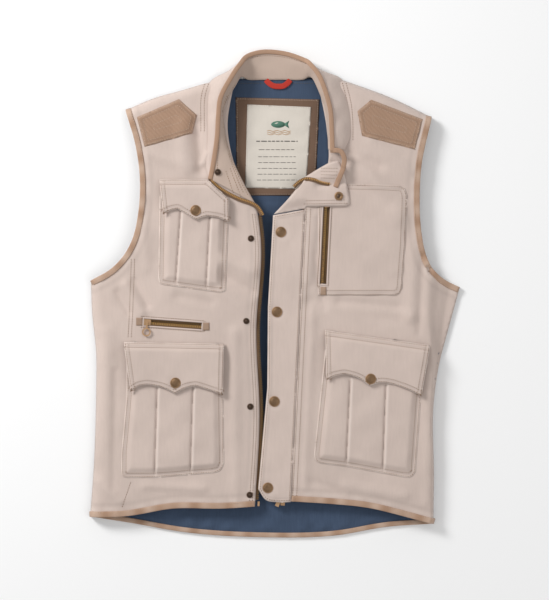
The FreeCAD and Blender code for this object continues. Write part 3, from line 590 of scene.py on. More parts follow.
def edge_wear_highlight_and_shade(line, x, y, wear, shade, pitch=5):
    """Return the tone of an edge: lighter on it, as wear and a painted highlight on its rounded edge, with
    painted shade beside it; each as (strength, distance, width).
    """
    gap, along = distance_to(line, x, y)
    patchy = 0.6 + 0.4 * np.sin(along / pitch)
    return wear[0] * bump_at(gap - wear[1], wear[2]) * patchy - shade[0] * bump_at(gap - shade[1], shade[2])


def offset(line, distance):
    """Return a polyline moved to its left."""
    line = np.asarray(line, float)
    run = np.gradient(line, axis=0)
    run /= np.linalg.norm(run, axis=1)[:, None]
    return line + np.stack([-run[:, 1], run[:, 0]], axis=1) * distance


def raised(line, height, lift=0.0):
    """Return a plan line as a 3-D path on a surface."""
    line = np.asarray(line, float)
    return np.column_stack([line, height(line[:, 0], line[:, 1]) + lift])


def level_at(height, place):
    """Return a surface's height at one place."""
    return float(height(np.array([float(place[0])]), np.array([float(place[1])]))[0])


def slot_loop(line, width, extra=0.0):
    """Return the slot's outline round a two-point line."""
    (ax, ay), (bx, by) = line
    length = math.hypot(bx - ax, by - ay)
    ux, uy = (bx - ax) / length, (by - ay) / length
    corners = []
    for u, v in ((-extra, -1), (length + extra, -1), (length + extra, 1), (-extra, 1)):
        corners.append((ax + ux * u - uy * v * width / 2, ay + uy * u + ux * v * width / 2))
    return loop([[corners[i], corners[(i + 1) % 4]] for i in range(4)], 3.0)


SIDE_ZIP = [(-203, -43.5), (-112, -50)]
CHEST_ZIP = [(81, 162), (74, 14)]
ZIP_SLOT = 11.0
tone_right = seam_tone([offset(LINE["edge_right"], 7), offset(LINE["hem_right"], 12),
                        offset(LINE["armhole_right"], 11)])
tone_left = seam_tone([offset(LINE["seam_left"], -3), offset(LINE["hem_left"], -12),
                       offset(LINE["armhole_left"], -11)])
cloth("front_right", loop([SHOULDER_RIGHT, ARMHOLE_RIGHT, SIDE_RIGHT, HEM_RIGHT, EDGE_RIGHT, NECK_RIGHT]),
      shell_right, TWILL, "vest", 3.4, 1.0, [slot_loop(SIDE_ZIP, ZIP_SLOT)],
      ("front_panel_right", "side_panel_right"), tone_right)
SEAM_UNDER = [[(25, -320), (20, -319.6)], [(20, -319.6), (42, 132)], [(42, 132), (47, 133)]]


def left_front_height(x, y):
    """Return the left front's top, which dips where it runs on under the placket."""
    (foot_x, foot_y), (head_x, head_y) = SEAM_LEFT
    seam_x = foot_x + (y - foot_y) * (head_x - foot_x) / (head_y - foot_y)
    z = shell_left(x, y)
    return np.where(x < seam_x - 0.5, np.minimum(z, PLACKET_TOP - 2.2), z)


cloth("front_left", loop([SHOULDER_LEFT, ARMHOLE_LEFT, SIDE_LEFT, HEM_LEFT] + SEAM_UNDER + [NECK_LEFT]),
      left_front_height, TWILL, "vest", 3.4, 1.0, [slot_loop(CHEST_ZIP, ZIP_SLOT)],
      ("front_panel_left", "side_panel_left"), tone_left)
VEST = [SHOULDER_RIGHT, ARMHOLE_RIGHT, SIDE_RIGHT, BACK_HEM, SIDE_LEFT[::-1], ARMHOLE_LEFT[::-1],
        SHOULDER_LEFT[::-1], BACK_NECK]


def back_height(x, y):
    """Return the top of the back's shell, whose edges turn up a little."""
    gap, _ = distance_to(np.concatenate([LINE["side_right"], LINE["back_hem"]]), x, y)
    return 1.2 + 0.8 * bump_at(gap, 9)


cloth("back_shell", loop(VEST), back_height, TWILL, "vest", 7.0, 1.0, (), ("back_panel",))
cloth("back_lining_cloth", loop(VEST, 6.0), lining_floor, CHAMBRAY, "vest", 4.0, 0.7, (),
      ("back_lining",))
for side, strokes, height in (
        ("right", [SHOULDER_RIGHT, ARMHOLE_RIGHT, SIDE_RIGHT, HEM_RIGHT, EDGE_RIGHT, NECK_RIGHT],
         shell_right),
        ("left", [SHOULDER_LEFT, ARMHOLE_LEFT, SIDE_LEFT, HEM_LEFT, SEAM_LEFT, NECK_LEFT], shell_left)):
    def front_lining(x, y, above=height):
        top = above(x, y)
        return np.minimum(top - 1.3, np.maximum(top - 6.3, 6.6))

    cloth("lining_" + side, loop(strokes, 6.0), front_lining, CHAMBRAY, "vest", 8.0, 0.6, (),
          ("front_lining_" + side,))

# ---------------------------------------------------------------- stitching
STITCH = 2.7
STITCH_GAP = 1.1
THREAD_WIDTH = 1.5


def stitches(name, rows, height, material, body, lift=0.25):
    """Add rows of stitches that follow a surface; each row is a plan line."""
    plan = []
    for row in rows:
        row = np.asarray(row, float)
        steps = np.concatenate([[0], np.cumsum(np.linalg.norm(np.diff(row, axis=0), axis=1))])
        count = int(steps[-1] / (STITCH + STITCH_GAP))
        starts = np.arange(count) * (STITCH + STITCH_GAP) + 0.5 + random.uniform(-0.25, 0.25, count)
        ends = [np.stack([np.interp(at, steps, row[:, k]) for k in (0, 1)], axis=1)
                for at in (starts, starts + STITCH)]
        plan.append(np.stack(ends, axis=1))
    plan = np.concatenate(plan)
    middle = plan.mean(axis=1)
    run = plan[:, 1] - plan[:, 0]
    run /= np.linalg.norm(run, axis=1)[:, None] + 1e-9
    side = np.stack([-run[:, 1], run[:, 0]], axis=1) * THREAD_WIDTH / 2
    spots = np.stack([plan[:, 0], plan[:, 1], middle + side, middle - side, middle, middle], axis=1)
    levels = height(spots[:, :, 0].ravel(), spots[:, :, 1].ravel()).reshape(-1, 6)
    levels = levels + np.array([-0.1, -0.1, 0.05, 0.05, lift + 0.15, -0.5])
    points = np.concatenate([spots, levels[:, :, None]], axis=2).reshape(-1, 3)
    corners = np.array([(0, 3, 4), (3, 1, 4), (1, 2, 4), (2, 0, 4), (3, 0, 5), (1, 3, 5), (2, 1, 5),
                        (0, 2, 5)])
    faces = (corners[None] + 6 * np.arange(len(plan))[:, None, None]).reshape(-1, 3)
    piece = make(name, points, faces.tolist(), material, body)
    add_tone(piece, np.zeros(len(points)))
    return piece


def rows_beside(line, *distances):
    """Return stitch rows at distances to the left of a line."""
    return [offset(line, distance) for distance in distances]


# ---------------------------------------------------------------- bindings
BINDING_INSET = 4.4


def binding(name, line, distance, height, node, width=9.0, lift=0.9, thick=2.2):
    """Add a bound edge: a rounded ribbon that follows a line on the surface."""
    plan = offset(line, distance)
    for _ in range(6):
        plan[1:-1] = (plan[:-2] + 2 * plan[1:-1] + plan[2:]) / 4
    path = raised(plan, height, lift)
    path[:, 2] += 0.25 * np.sin(np.arange(len(path)) * 0.9) * np.sin(np.arange(len(path)) * 0.23)
    piece = sweep(name, path, width, thick, BINDING, "vest", node, sides=12, squareness=3.5)
    wear = 0.25 + 0.35 * np.sin(np.arange(len(path)) * 0.55) * np.sin(np.arange(len(path)) * 0.13 + 1)
    piece.data.attributes["tone"].data.foreach_set("value", np.repeat(np.clip(wear, -0.1, 0.6),
                                                                      12).astype(np.float32))
    return piece


def low(x, y):
    """Return the top of the back's edge."""
    return np.full(np.shape(x), 1.9)


binding("binding_armhole_right", LINE["armhole_right"], BINDING_INSET, shell_right,
        ("armhole_binding_right",))
binding("binding_armhole_left", LINE["armhole_left"], -BINDING_INSET, shell_left, ("armhole_binding_left",))
binding("binding_armhole_right_back", LINE["armhole_right"], BINDING_INSET, low, (), thick=2.4, lift=-0.6)
binding("binding_armhole_left_back", LINE["armhole_left"], -BINDING_INSET, low, (), thick=2.4, lift=-0.6)
binding("binding_hem_right", LINE["hem_right"], BINDING_INSET, shell_right, ("front_hem_binding_right",))
binding("binding_hem_left", LINE["hem_left"], -BINDING_INSET, shell_left, ("front_hem_binding_left",))
binding("binding_back_hem", LINE["back_hem"], 3.8, low, ("back_hem_binding",), width=7.6, lift=1.3,
        thick=2.8)

# ---------------------------------------------------------------- shoulder patches and the chest zip panel
PATCH_RIGHT = [(-213, 272), (-148, 300), (-120, 275), (-127, 247), (-201, 226)]
PATCH_LEFT = [(127, 281), (148, 299), (228, 269), (216, 222), (134, 243)]
CHEST_PANEL = [(66, 171), (192, 167), (201, 162), (204, 150), (201, 74), (196, 8), (193, 0), (186, -3),
               (66, -3)]


def straight(corners, step=3.0):
    """Return a closed outline with straight sides."""
    return loop([[corners[i], corners[(i + 1) % len(corners)]] for i in range(len(corners))], step)


def closed(outline):
    """Return an outline with its first point again at the end."""
    return np.concatenate([outline, outline[:1]])


def shrunk(corners, distance):
    """Return a polygon's closed line moved inward."""
    corners = np.asarray(corners, float)
    area = 0.5 * np.sum(corners[:, 0] * np.roll(corners[:, 1], -1) - np.roll(corners[:, 0], -1) * corners[:,
                                                                                                          1])
    turn = 1 if area > 0 else -1
    moved = []
    for before, here, after in zip(np.roll(corners, 1, axis=0), corners, np.roll(corners, -1, axis=0)):
        a, b = here - before, after - here
        a, b = a / np.linalg.norm(a), b / np.linalg.norm(b)
        normal = np.array([-(a + b)[1], (a + b)[0]]) * turn
        normal /= np.linalg.norm(normal)
        reach = distance / max(0.5, abs(normal @ np.array([-a[1], a[0]])))
        moved.append(here + normal * reach)
    return closed(straight(moved))


for side, corners in (("right", PATCH_RIGHT), ("left", PATCH_LEFT)):
    border = straight(corners)

    def patch_height(x, y, edge=closed(border)):
        gap, along = distance_to(edge, x, y)
        return shell(x, y) + 1.5 - rounded(gap, 4, 1.2) + 0.35 * np.sin(along / 5.0) * bump_at(gap, 7)

    def patch_tone(x, y, edge=closed(border)):
        # Wear and a painted highlight along the patch's edge, with painted shade just inside it.
        return edge_wear_highlight_and_shade(edge, x, y, (0.55, 1.0, 2.0), (0.28, 6.5, 1.6), 6)

    cloth("shoulder_cloth_" + side, border, patch_height, CORDUROY, "vest", 2.6, 0.9, (),
          ("shoulder_patch_" + side,), patch_tone)
    stitches("shoulder_stitches_" + side, [shrunk(corners, d) for d in (2.5, 8.0, 21.0)], patch_height,
             THREAD_TAN,
             "vest")

panel_border = straight(CHEST_PANEL)


def panel_height(x, y):
    """Return the top of the chest zip's cover panel."""
    gap, along = distance_to(closed(panel_border), x, y)
    return (shell(x, y) + 1.7 - rounded(gap, 4, 1.3) - 0.5 * bump_at(gap - 5, 2.5)
            + 0.45 * bump_at(gap, 14) * np.sin(along / 5.5 + 2 * np.sin(along / 23)))


def panel_tone(x, y):
    """Return the wear and painted highlight along the chest panel's edge, with painted shade in the groove
    just inside it.
    """
    return edge_wear_highlight_and_shade(closed(panel_border), x, y, (0.5, 1.5, 2.2), (0.22, 5, 1.5), 7)


cloth("chest_zip_cover", panel_border, panel_height, TWILL, "vest", 2.8, 0.9,
      [slot_loop(CHEST_ZIP, ZIP_SLOT)], ("chest_zip_panel",), panel_tone)
stitches("chest_zip_cover_stitches", [shrunk(CHEST_PANEL, d) for d in (2.2, 8.0)]
         + [slot_loop(CHEST_ZIP, ZIP_SLOT + 6, 4)], panel_height, THREAD, "vest")

# ---------------------------------------------------------------- bellows pockets
# Each pocket: its face's strokes, its flap's with the seam first, its snap, its pleats and the flap's body.
POCKETS = {
    "chest_pocket": (
        [[(-70, 148), (-178, 151)], [(-178, 151), (-180, 24)], [(-180, 24), (-178, 16), (-171, 13)],
         [(-171, 13), (-84, 1)], [(-84, 1), (-76, 4), (-75, 12)], [(-75, 12), (-70, 148)]],
        [[(-178, 176), (-104, 176)], [(-104, 176), (-71, 146)], [(-71, 146), (-70, 110)],
         [(-70, 110), (-86, 116), (-104, 119)], [(-104, 119), (-112, 117), (-122, 113)],
         [(-122, 113), (-133, 120), (-150, 130)], [(-150, 130), (-162, 127), (-172, 122)],
         [(-172, 122), (-178, 176)]],
        (-122, 128), [((-145, 126), (-153, 10)), ((-100, 119), (-106, 3))], "chest_flap"),
    "right_hip_pocket": (
        [[(-80, -104), (-229, -102)], [(-229, -102), (-229, -157)], [(-229, -157), (-237, -245)],
         [(-237, -245), (-237, -276)], [(-237, -276), (-234, -282), (-228, -284)],
         [(-228, -284), (-186, -284)],
         [(-186, -284), (-96, -277)], [(-96, -277), (-84, -273), (-78, -262)], [(-78, -262), (-80, -104)]],
        [[(-233, -74), (-78, -77)], [(-78, -77), (-80, -156)], [(-80, -156), (-97, -150), (-122, -142)],
         [(-122, -142), (-136, -145), (-154, -154)], [(-154, -154), (-172, -145), (-197, -140)],
         [(-197, -140), (-210, -143), (-222, -151)], [(-222, -151), (-233, -74)]],
        (-153, -137), [((-181, -145), (-185, -278)), ((-126, -144), (-130, -278))], "right_hip_flap"),
    "left_hip_pocket": (
        [[(229, -108), (77, -87)], [(77, -87), (60, -247)], [(60, -247), (62, -257), (70, -262)],
         [(70, -262), (110, -267)], [(110, -267), (197, -283)], [(197, -283), (210, -283), (217, -275)],
         [(217, -275), (229, -108)]],
        [[(77, -56), (239, -79)], [(239, -79), (225, -158)], [(225, -158), (210, -150), (180, -139)],
         [(180, -139), (162, -137), (145, -142)], [(145, -142), (128, -130), (107, -124)],
         [(107, -124), (92, -127), (79, -133)], [(79, -133), (77, -56)]],
        (147, -131), [((116, -134), (110, -262)), ((171, -141), (166, -277))], "left_hip_flap")}
FLAP_TOP = FACE_TOP + 4.8


def beside_pleat(start, end, x, y):
    """Return each place's distance to a pleat and the pleat's x at that height."""
    near, _ = distance_to([start, end], x, y)
    return near, start[0] + (end[0] - start[0]) * (y - start[1]) / (end[1] - start[1])


def pocket_shape(name):
    """Return the height and tone functions of a pocket's face and of its flap."""
    strokes, flap, snap, pleats, _ = POCKETS[name]
    face_line = closed(loop(strokes, 3.0))
    flap_line = closed(loop(flap, 3.0))
    root = curve(flap[0], 3.0)

    def face(x, y):
        gap, along = distance_to(face_line, x, y)
        z = shell(x, y) + 1.2
        middle = FACE_TOP - 0.6 + 0.8 * ripple(x, y, 60, 4) + 0.3 * np.sin(along / 5.0) * bump_at(gap, 10)
        z = z + (middle - z) * rise(gap, 5.0, 17.0) - 0.5 * bump_at(gap - 4.5, 2.0) - rounded(gap, 3, 1.0)
        for start, end in pleats:
            near, line_x = beside_pleat(start, end, x, y)
            left = np.where(x < line_x, 1, 0)
            inner = rise(gap, 3, 12)
            z = z - inner * (2.8 * bump_at(near, 1.6) + left * 1.6 * np.exp(-near / 7.0)
                             - (1 - left) * 0.9 * np.exp(-near / 10.0))
        return z

    def flap_top(x, y):
        gap, along = distance_to(flap_line, x, y)
        away, _ = distance_to(root, x, y)
        seam = shell(x, y) + 1.7
        z = seam + (FLAP_TOP + 0.35 * ripple(x, y, 46, 5) - seam) * rise(away, -4.0, 14.0)
        hole, _ = distance_to([snap, (snap[0] + 0.1, snap[1])], x, y)
        z = z - rounded(gap, 5, 2.0) * rise(away, 2, 10) + 0.35 * np.sin(along / 4.7) * bump_at(gap, 8)
        return z - 0.5 * bump_at(gap - 5.5, 2.0) - 1.2 * bump_at(hole, 9)

    def face_tone(x, y):
        # Wear and a painted highlight along the face's edge, with painted shade in the groove just inside
        # it.
        tone = edge_wear_highlight_and_shade(face_line, x, y, (0.55, 1.0, 2.4), (0.25, 5, 1.6), 6)
        # Painted shade in each pleat's crease and a painted highlight on its raised side.
        for start, end in pleats:
            near, line_x = beside_pleat(start, end, x, y)
            tone = tone - 0.35 * bump_at(near, 1.2) + np.where(x > line_x, 0.45, 0) * bump_at(near - 2.5,
                                                                                              1.8)
        return tone

    def flap_tone(x, y):
        # Wear and a painted highlight along the flap's edge, with painted shade in the groove just inside
        # it.
        return edge_wear_highlight_and_shade(flap_line, x, y, (0.55, 0.8, 1.8), (0.22, 5.5, 1.5))

    return face, flap_top, face_tone, flap_tone, face_line, flap_line


for name, (strokes, flap, snap, pleats, body) in POCKETS.items():
    face, flap_top, face_tone, flap_tone, face_line, flap_line = pocket_shape(name)
    cloth(name + "_cloth", face_line[:-1], face, TWILL, "vest", 1.9, 0.9, (),
          (name + "_face", name + "_gusset"), face_tone)
    cloth(name + "_flap_cloth", flap_line[:-1], flap_top, TWILL, body, 2.2, 1.6, (),
          (name + "_flap",), flap_tone)
    outline = np.concatenate([curve(stroke, 2.0) for stroke in strokes[1:]])
    stitches(name + "_stitches", rows_beside(outline, 2.4, 7.6), face, THREAD, "vest")
    edge = np.concatenate([curve(stroke, 2.0) for stroke in flap[1:]])
    top = curve(flap[0], 2.0)
    stitches(name + "_flap_stitches", rows_beside(edge, -2.0, -7.2) + rows_beside(top, -2.0, -8.0),
             flap_top, THREAD,
             body)

# ---------------------------------------------------------------- placket
PLACKET = [[(46, 130), (24, -321)], [(24, -321), (8, -322)], [(8, -322), (-14, -318), (-26, -301)],
           [(-26, -301), (-12, -145)], [(-12, -145), (-11, -20)], [(-11, -20), (-3, 121)],
           [(-3, 121), (46, 130)]]
PLACKET_SNAPS = [(9, 95), (3, -28), (-1, -166), (-11, -299)]
FRONT_STUDS = [(-37, 85), (-44, -42), (-38, -174), (-39, -310)]
placket_line = closed(loop(PLACKET, 3.0))
placket_edge = np.concatenate([curve(stroke, 3.0)[:-1] for stroke in PLACKET[1:]])


def placket_height(x, y):
    """Return the top of the storm placket."""
    gap, along = distance_to(placket_edge, x, y)
    z = PLACKET_TOP + 0.5 + 0.4 * ripple(x, y, 70, 6) - rounded(gap, 4, 1.7) - 0.35 * bump_at(gap - 6.5, 2)
    for snap in PLACKET_SNAPS:
        around = np.hypot(x - snap[0], y - snap[1])
        z = z - 0.6 * bump_at(around, 10) + 0.35 * bump_at(around - 15, 5)
    return z + 0.3 * np.sin(along / 4.5 + np.sin(along / 21)) * bump_at(gap, 8)


def placket_tone(x, y):
    """Return the wear and painted highlight along the placket's free edge, with painted shade in the groove
    just inside it.
    """
    return edge_wear_highlight_and_shade(placket_edge, x, y, (0.5, 0.8, 1.8), (0.2, 6.5, 1.5))


cloth("placket_cloth", placket_line[:-1], placket_height, TWILL, "placket", 2.6, 2.0, (),
      ("placket_flap",), placket_tone)
stitches("placket_stitches", rows_beside(placket_edge, -3.0) + rows_beside(LINE["seam_left"], 3.0),
         placket_height,
         THREAD, "placket")

# ---------------------------------------------------------------- stitching on the fronts
SIDE_SEAM = curve([(-219, 54), (-221, -10), (-224, -69)], 3.0)
BACK_SEAM = curve([(-222, -290), (-236, -330)], 3.0)
NECK_STITCH_RIGHT = curve([(-109, 250), (-109, 270), (-108, 304), (-102, 326)], 3.0)
NECK_STITCH_LEFT = curve([(120, 236), (120, 262), (118, 288), (109, 328)], 3.0)
stitches("right_front_stitches",
         rows_beside(LINE["edge_right"], 4.5, 8.5) + rows_beside(LINE["hem_right"], 7.6)
         + rows_beside(LINE["armhole_right"], 7.6) + rows_beside(SIDE_SEAM, -2.5, 2.5)
         + rows_beside(BACK_SEAM, 0.0) + rows_beside(NECK_STITCH_RIGHT, 0.0, 5.5)
         + [slot_loop(SIDE_ZIP, ZIP_SLOT + 6, 4)], lambda x, y: shell_right(x, y) + 0.1, THREAD, "vest", 0.4)
stitches("left_front_stitches",
         rows_beside(LINE["seam_left"], -2.0, -8.0) + rows_beside(LINE["hem_left"], -7.6)
         + rows_beside(LINE["armhole_left"], -7.6) + rows_beside(NECK_STITCH_LEFT, 0.0, 5.5),
         lambda x, y: shell_left(x, y) + 0.1, THREAD, "vest", 0.4)
stitches("hem_binding_stitches", rows_beside(LINE["hem_right"], 7.4) + rows_beside(LINE["hem_left"], -7.4)
         + rows_beside(LINE["armhole_right"], 7.4) + rows_beside(LINE["armhole_left"], -7.4),
         lambda x, y: shell(x, y) + 1.75, THREAD_TAN, "vest")
stitches("back_neck_stitches", [curve([(-58, 326), (60, 326)], 3.0)], lambda x, y: lining_floor(x, y) + 0.1,
         INK,
         "vest")

# ---------------------------------------------------------------- collar
# Each station: a point on the neck seam, one on the top edge and one where the outside meets the front.
COLLAR = (
    ((-30, 138, 19.6), (-100, 176, 21.5), (-102, 178, 20.5)),
    ((-50, 174, 19.6), (-95, 200, 24), (-106, 196, 19.4)),
    ((-68, 214, 19.6), (-89, 240, 31), (-104, 236, 19.0)), ((-78, 254, 19.6), (-87, 272, 34),
                                                            (-104, 270, 19.0)),
    ((-78, 288, 19.6), (-83, 302, 35), (-103, 304, 18.4)), ((-60, 322, 19.8), (-66, 334, 33), (-99, 329, 9)),
    ((-52, 335, 9), (-53, 354, 24), (-72, 345, 4.5)), ((-40, 331, 4.2), (-42, 367, 13), (-50, 362, 3)),
    ((-15, 331, 3.8), (-17, 374, 8), (-17, 376, 2.5)), ((15, 331, 3.8), (16, 371, 8), (16, 374, 2.5)),
    ((42, 331, 4.2), (44, 361, 14), (50, 357, 3)), ((54, 335, 9), (54, 353, 25), (74, 344, 4.5)),
    ((62, 324, 19.8), (70, 330, 33), (104, 330, 9)), ((77, 285, 19.6), (84, 286, 35), (115, 288, 18.4)),
    ((81, 250, 19.6), (87, 250, 34), (117, 246, 19.4)), ((82, 222, 22.6), (88, 218, 33), (108, 222, 21)))
COLLAR_COUNT = 150


def through(points, count):
    """Return evenly numbered points on a smooth curve through stations."""
    points = np.asarray(points, float)
    padded = np.concatenate([2 * points[:1] - points[1:2], points, 2 * points[-1:] - points[-2:-1]])
    places = np.linspace(0, len(points) - 1 - 1e-6, count)
    cell = places.astype(int)
    t = (places - cell)[:, None]
    a, b, c, d = (padded[cell + k] for k in range(4))
    return 0.5 * (2 * b + (c - a) * t + (2 * a - 5 * b + 4 * c - d) * t**2 + (3 * b - a - 3 * c + d) * t**3)


COLLAR_SEAM, COLLAR_TOP, COLLAR_FOOT = (through([station[k] for station in COLLAR],
                                                COLLAR_COUNT) for k in range(3))


def loft(name, rows, material, replaces, thick):
    """Add a sheet through equal rows of points."""
    rows = np.asarray(rows)
    high, wide = rows.shape[:2]
    faces = [(i * wide + k, i * wide + k + 1, (i + 1) * wide + k + 1, (i + 1) * wide + k)
             for i in range(high - 1) for k in range(wide - 1)]
    piece = make(name, rows.reshape(-1, 3), faces, material, "vest", replaces)
    add_tone(piece, np.zeros(high * wide))
    solid = piece.modifiers.new("thickness", "SOLIDIFY")
    solid.thickness = thick * MM
    solid.offset = 0
    return piece


def uneven(rows, size):
    """Give rows of points a soft unevenness that fades at the first and last rows."""
    for i, row in enumerate(rows):
        fade = math.sin(math.pi * i / (len(rows) - 1))
        row[:, 2] += size * fade * ripple(row[:, 0], row[:, 1], 42, 7) + 0.8 * size * fade
    return rows


facing_rows = uneven([COLLAR_SEAM + (COLLAR_TOP - COLLAR_SEAM) * t for t in np.linspace(0, 1, 14)], 1.0)
loft("collar_inside", facing_rows, TWILL_DARK, ("collar_facing",), 0.8)
outside_rows = []
for t in np.linspace(0, 1, 14):
    row = COLLAR_TOP + (COLLAR_FOOT - COLLAR_TOP) * t
    row[:, 2] = COLLAR_TOP[:, 2] - 0.8 + (COLLAR_FOOT[:, 2] - COLLAR_TOP[:, 2]) * (t**1.7 * 0.7 + 0.3 * t)
    outside_rows.append(row)
loft("collar_outside", uneven(outside_rows, 1.2), TWILL, ("collar_shell",), 0.8)
crest = COLLAR_TOP.copy()
crest[:, 2] += 0.6
sweep("collar_trim", crest, 7.2, 3.2, BINDING, "vest", ("collar_binding",), sides=12,
      squareness=3.2)


def facing_height(x, y):
    """Return the top of the right collar end's inner face."""
    cloud = np.concatenate(facing_rows)
    gap = (np.asarray(x)[:, None] - cloud[None, :, 0]) ** 2 + (np.asarray(y)[:, None] - cloud[None, :,
                                                                                              1]) ** 2
    return cloud[np.argmin(gap, axis=1), 2] + 0.5


def collar_row(share, first, last):
    """Return a plan line along the collar at a share of its width, between two shares of its length."""
    line = COLLAR_SEAM + (COLLAR_TOP - COLLAR_SEAM) * share
    return line[int(first * COLLAR_COUNT):int(last * COLLAR_COUNT), :2]


stitches("collar_stitches", [collar_row(0.09, 0.02, 0.34), collar_row(0.2, 0.02, 0.3),
                             collar_row(0.86, 0.03, 0.97)]
         + [curve([(-52, 148), (-70, 195)], 3.0), curve([(-60, 143), (-77, 193)], 3.0)], facing_height,
         THREAD, "vest")

# ---------------------------------------------------------------- turned collar end
LAPEL = [[(-2, 122.3), (20, 146), (48, 181)], [(48, 181), (66, 192), (84, 202)],
         [(84, 202), (98, 204), (103, 196)],
         [(103, 196), (110, 172), (115, 148)], [(115, 148), (115, 139), (108, 134)], [(108, 134), (48, 134)],
         [(48, 134), (47, 131.3)], [(47, 131.3), (-2, 122.3)]]
lapel_line = closed(loop(LAPEL, 3.0))


def lapel_height(x, y):
    """Return the top of the turned collar end, which climbs to the standing collar."""
    gap, along = distance_to(lapel_line, x, y)
    climb = np.hypot(x - 92, y - 210)
    z = LAPEL_TOP + 0.8 * ripple(x, y, 50, 8) + 7.0 * np.exp(-(climb / 26) ** 2)
    z = z + 1.6 * bump_at(distance_to([(60, 176), (100, 186)], x, y)[0], 5)
    z = z - 2.4 * bump_at(distance_to([(66, 166), (106, 172)], x, y)[0], 5)
    z = z - rounded(gap, 6, 3.0) + 0.3 * np.sin(along / 4.6) * bump_at(gap, 8) - 0.4 * bump_at(gap - 6, 2)
    joins, _ = distance_to([(-3, 122), (46, 131)], x, y)
    return z + (PLACKET_TOP + 0.4 - z) * (1 - rise(joins, 0.0, 18.0))


def lapel_tone(x, y):
    """Return the wear and painted highlight along the turned collar end's edge, and painted shade in the
    pinch where it turns up to the standing collar.
    """
    gap, along = distance_to(lapel_line, x, y)
    pinch = distance_to([(84, 207), (116, 206)], x, y)[0]
    return 0.45 * bump_at(gap - 0.8, 1.8) * (0.6 + 0.4 * np.sin(along / 5)) - 0.45 * bump_at(pinch, 4)


cloth("collar_end_cloth", lapel_line[:-1], lapel_height, TWILL, "vest", 2.4, 2.0, (),
      ("collar_end_left",), lapel_tone)
stitches("collar_end_stitches", [curve([(112, 139), (40, 138)], 3.0), curve([(108, 144), (44, 143)], 3.0)]
         + [curve([(70, level), (97, level - 1)], 3.0) for level in (178, 183, 188, 193)], lapel_height,
         THREAD, "vest")
end_path = curve([(85, 220), (101, 218), (106, 209), (105, 195), (98, 176), (93, 164)], 2.0)
sweep("collar_end_trim", raised(end_path, lapel_height, 1.4), 7.6, 2.6, BINDING, "vest",
      sides=12,
      squareness=3.2)


# ---------------------------------------------------------------- zips
# A tooth's pitch along the chain, and half its width at the root and at the tip.
TOOTH_PITCH = 2.7
TOOTH_ROOT = 0.72
TOOTH_TIP = 0.55


def teeth(name, paths, node, reach, high=2.4):
    """Add zip teeth along 3-D paths; each path has the side, -1 or 1, on which its teeth stand."""
    parts = []
    for path, side, shift in paths:
        path = np.asarray(path, float)
        steps = np.concatenate([[0], np.cumsum(np.linalg.norm(np.diff(path, axis=0), axis=1))])
        for at in np.arange(TOOTH_PITCH * (0.5 + shift), steps[-1], TOOTH_PITCH):
            here = np.array([np.interp(at, steps, path[:, k]) for k in range(3)])
            ahead = np.array([np.interp(at + 0.5, steps, path[:, k]) for k in range(3)])
            behind = np.array([np.interp(at - 0.5, steps, path[:, k]) for k in range(3)])
            run = (ahead - behind)[:2]
            run /= np.linalg.norm(run)
            across = np.array([-run[1], run[0]]) * side
            points = []
            for level, pinch in ((-high / 2, 0.8), (high / 2 - 0.4, 1.0), (high / 2, 0.6)):
                tip = TOOTH_TIP * pinch
                for u, v in ((-TOOTH_ROOT, 0), (TOOTH_ROOT, 0), (tip, reach), (-tip, reach)):
                    spot = here[:2] + run * u * pinch + across * v
                    points.append((spot[0], spot[1], here[2] + level))
            faces = [(3, 2, 1, 0), (8, 9, 10, 11)]
            for base in (0, 4):
                faces += [(base + k, base + (k + 1) % 4, base + 4 + (k + 1) % 4,
                           base + 4 + k) for k in range(4)]
            parts.append((points, faces))
    points, faces = joined(parts)
    piece = make(name, points, faces, TEETH, "vest", node)
    piece.data.polygons.foreach_set("use_smooth", [False] * len(piece.data.polygons))
    return piece


RIGHT_CHAIN = curve([(-25, -318), (-18, -188), (-23, -60), (-16, 83), (-20, 122)], 3.0)
LEFT_CHAIN = curve([(13, -318), (35, 119)], 3.0)


def at_level(line, level):
    """Return a plan line as a 3-D path at one height."""
    line = np.asarray(line, float)
    return np.column_stack([line, np.full(len(line), float(level))])


FRONT_TAPE = 8.0
POCKET_TAPE = 7.0
TAPE_THICK = 0.8
CHAIN_RIGHT = 15.2
CHAIN_LEFT = 10.8
CHAIN_POCKET = 16.3
teeth("zip_teeth_right", [(at_level(offset(RIGHT_CHAIN, 3.0), CHAIN_RIGHT + 0.6), -1, 0)],
      ("front_zip_teeth_right",),
      2.9)
teeth("zip_teeth_left", [(at_level(offset(LEFT_CHAIN, -3.0), CHAIN_LEFT), 1, 0.5)],
      ("front_zip_teeth_left",), 2.9)
sweep("zip_tape_right", at_level(offset(RIGHT_CHAIN, 6.5), CHAIN_RIGHT), FRONT_TAPE, TAPE_THICK, ZIP_CLOTH,
      "vest",
      ("front_zip_tape_right",), squareness=6)
sweep("zip_tape_left", at_level(offset(LEFT_CHAIN, -6.5), CHAIN_LEFT), FRONT_TAPE, TAPE_THICK, ZIP_CLOTH,
      "vest",
      ("front_zip_tape_left",), squareness=6)
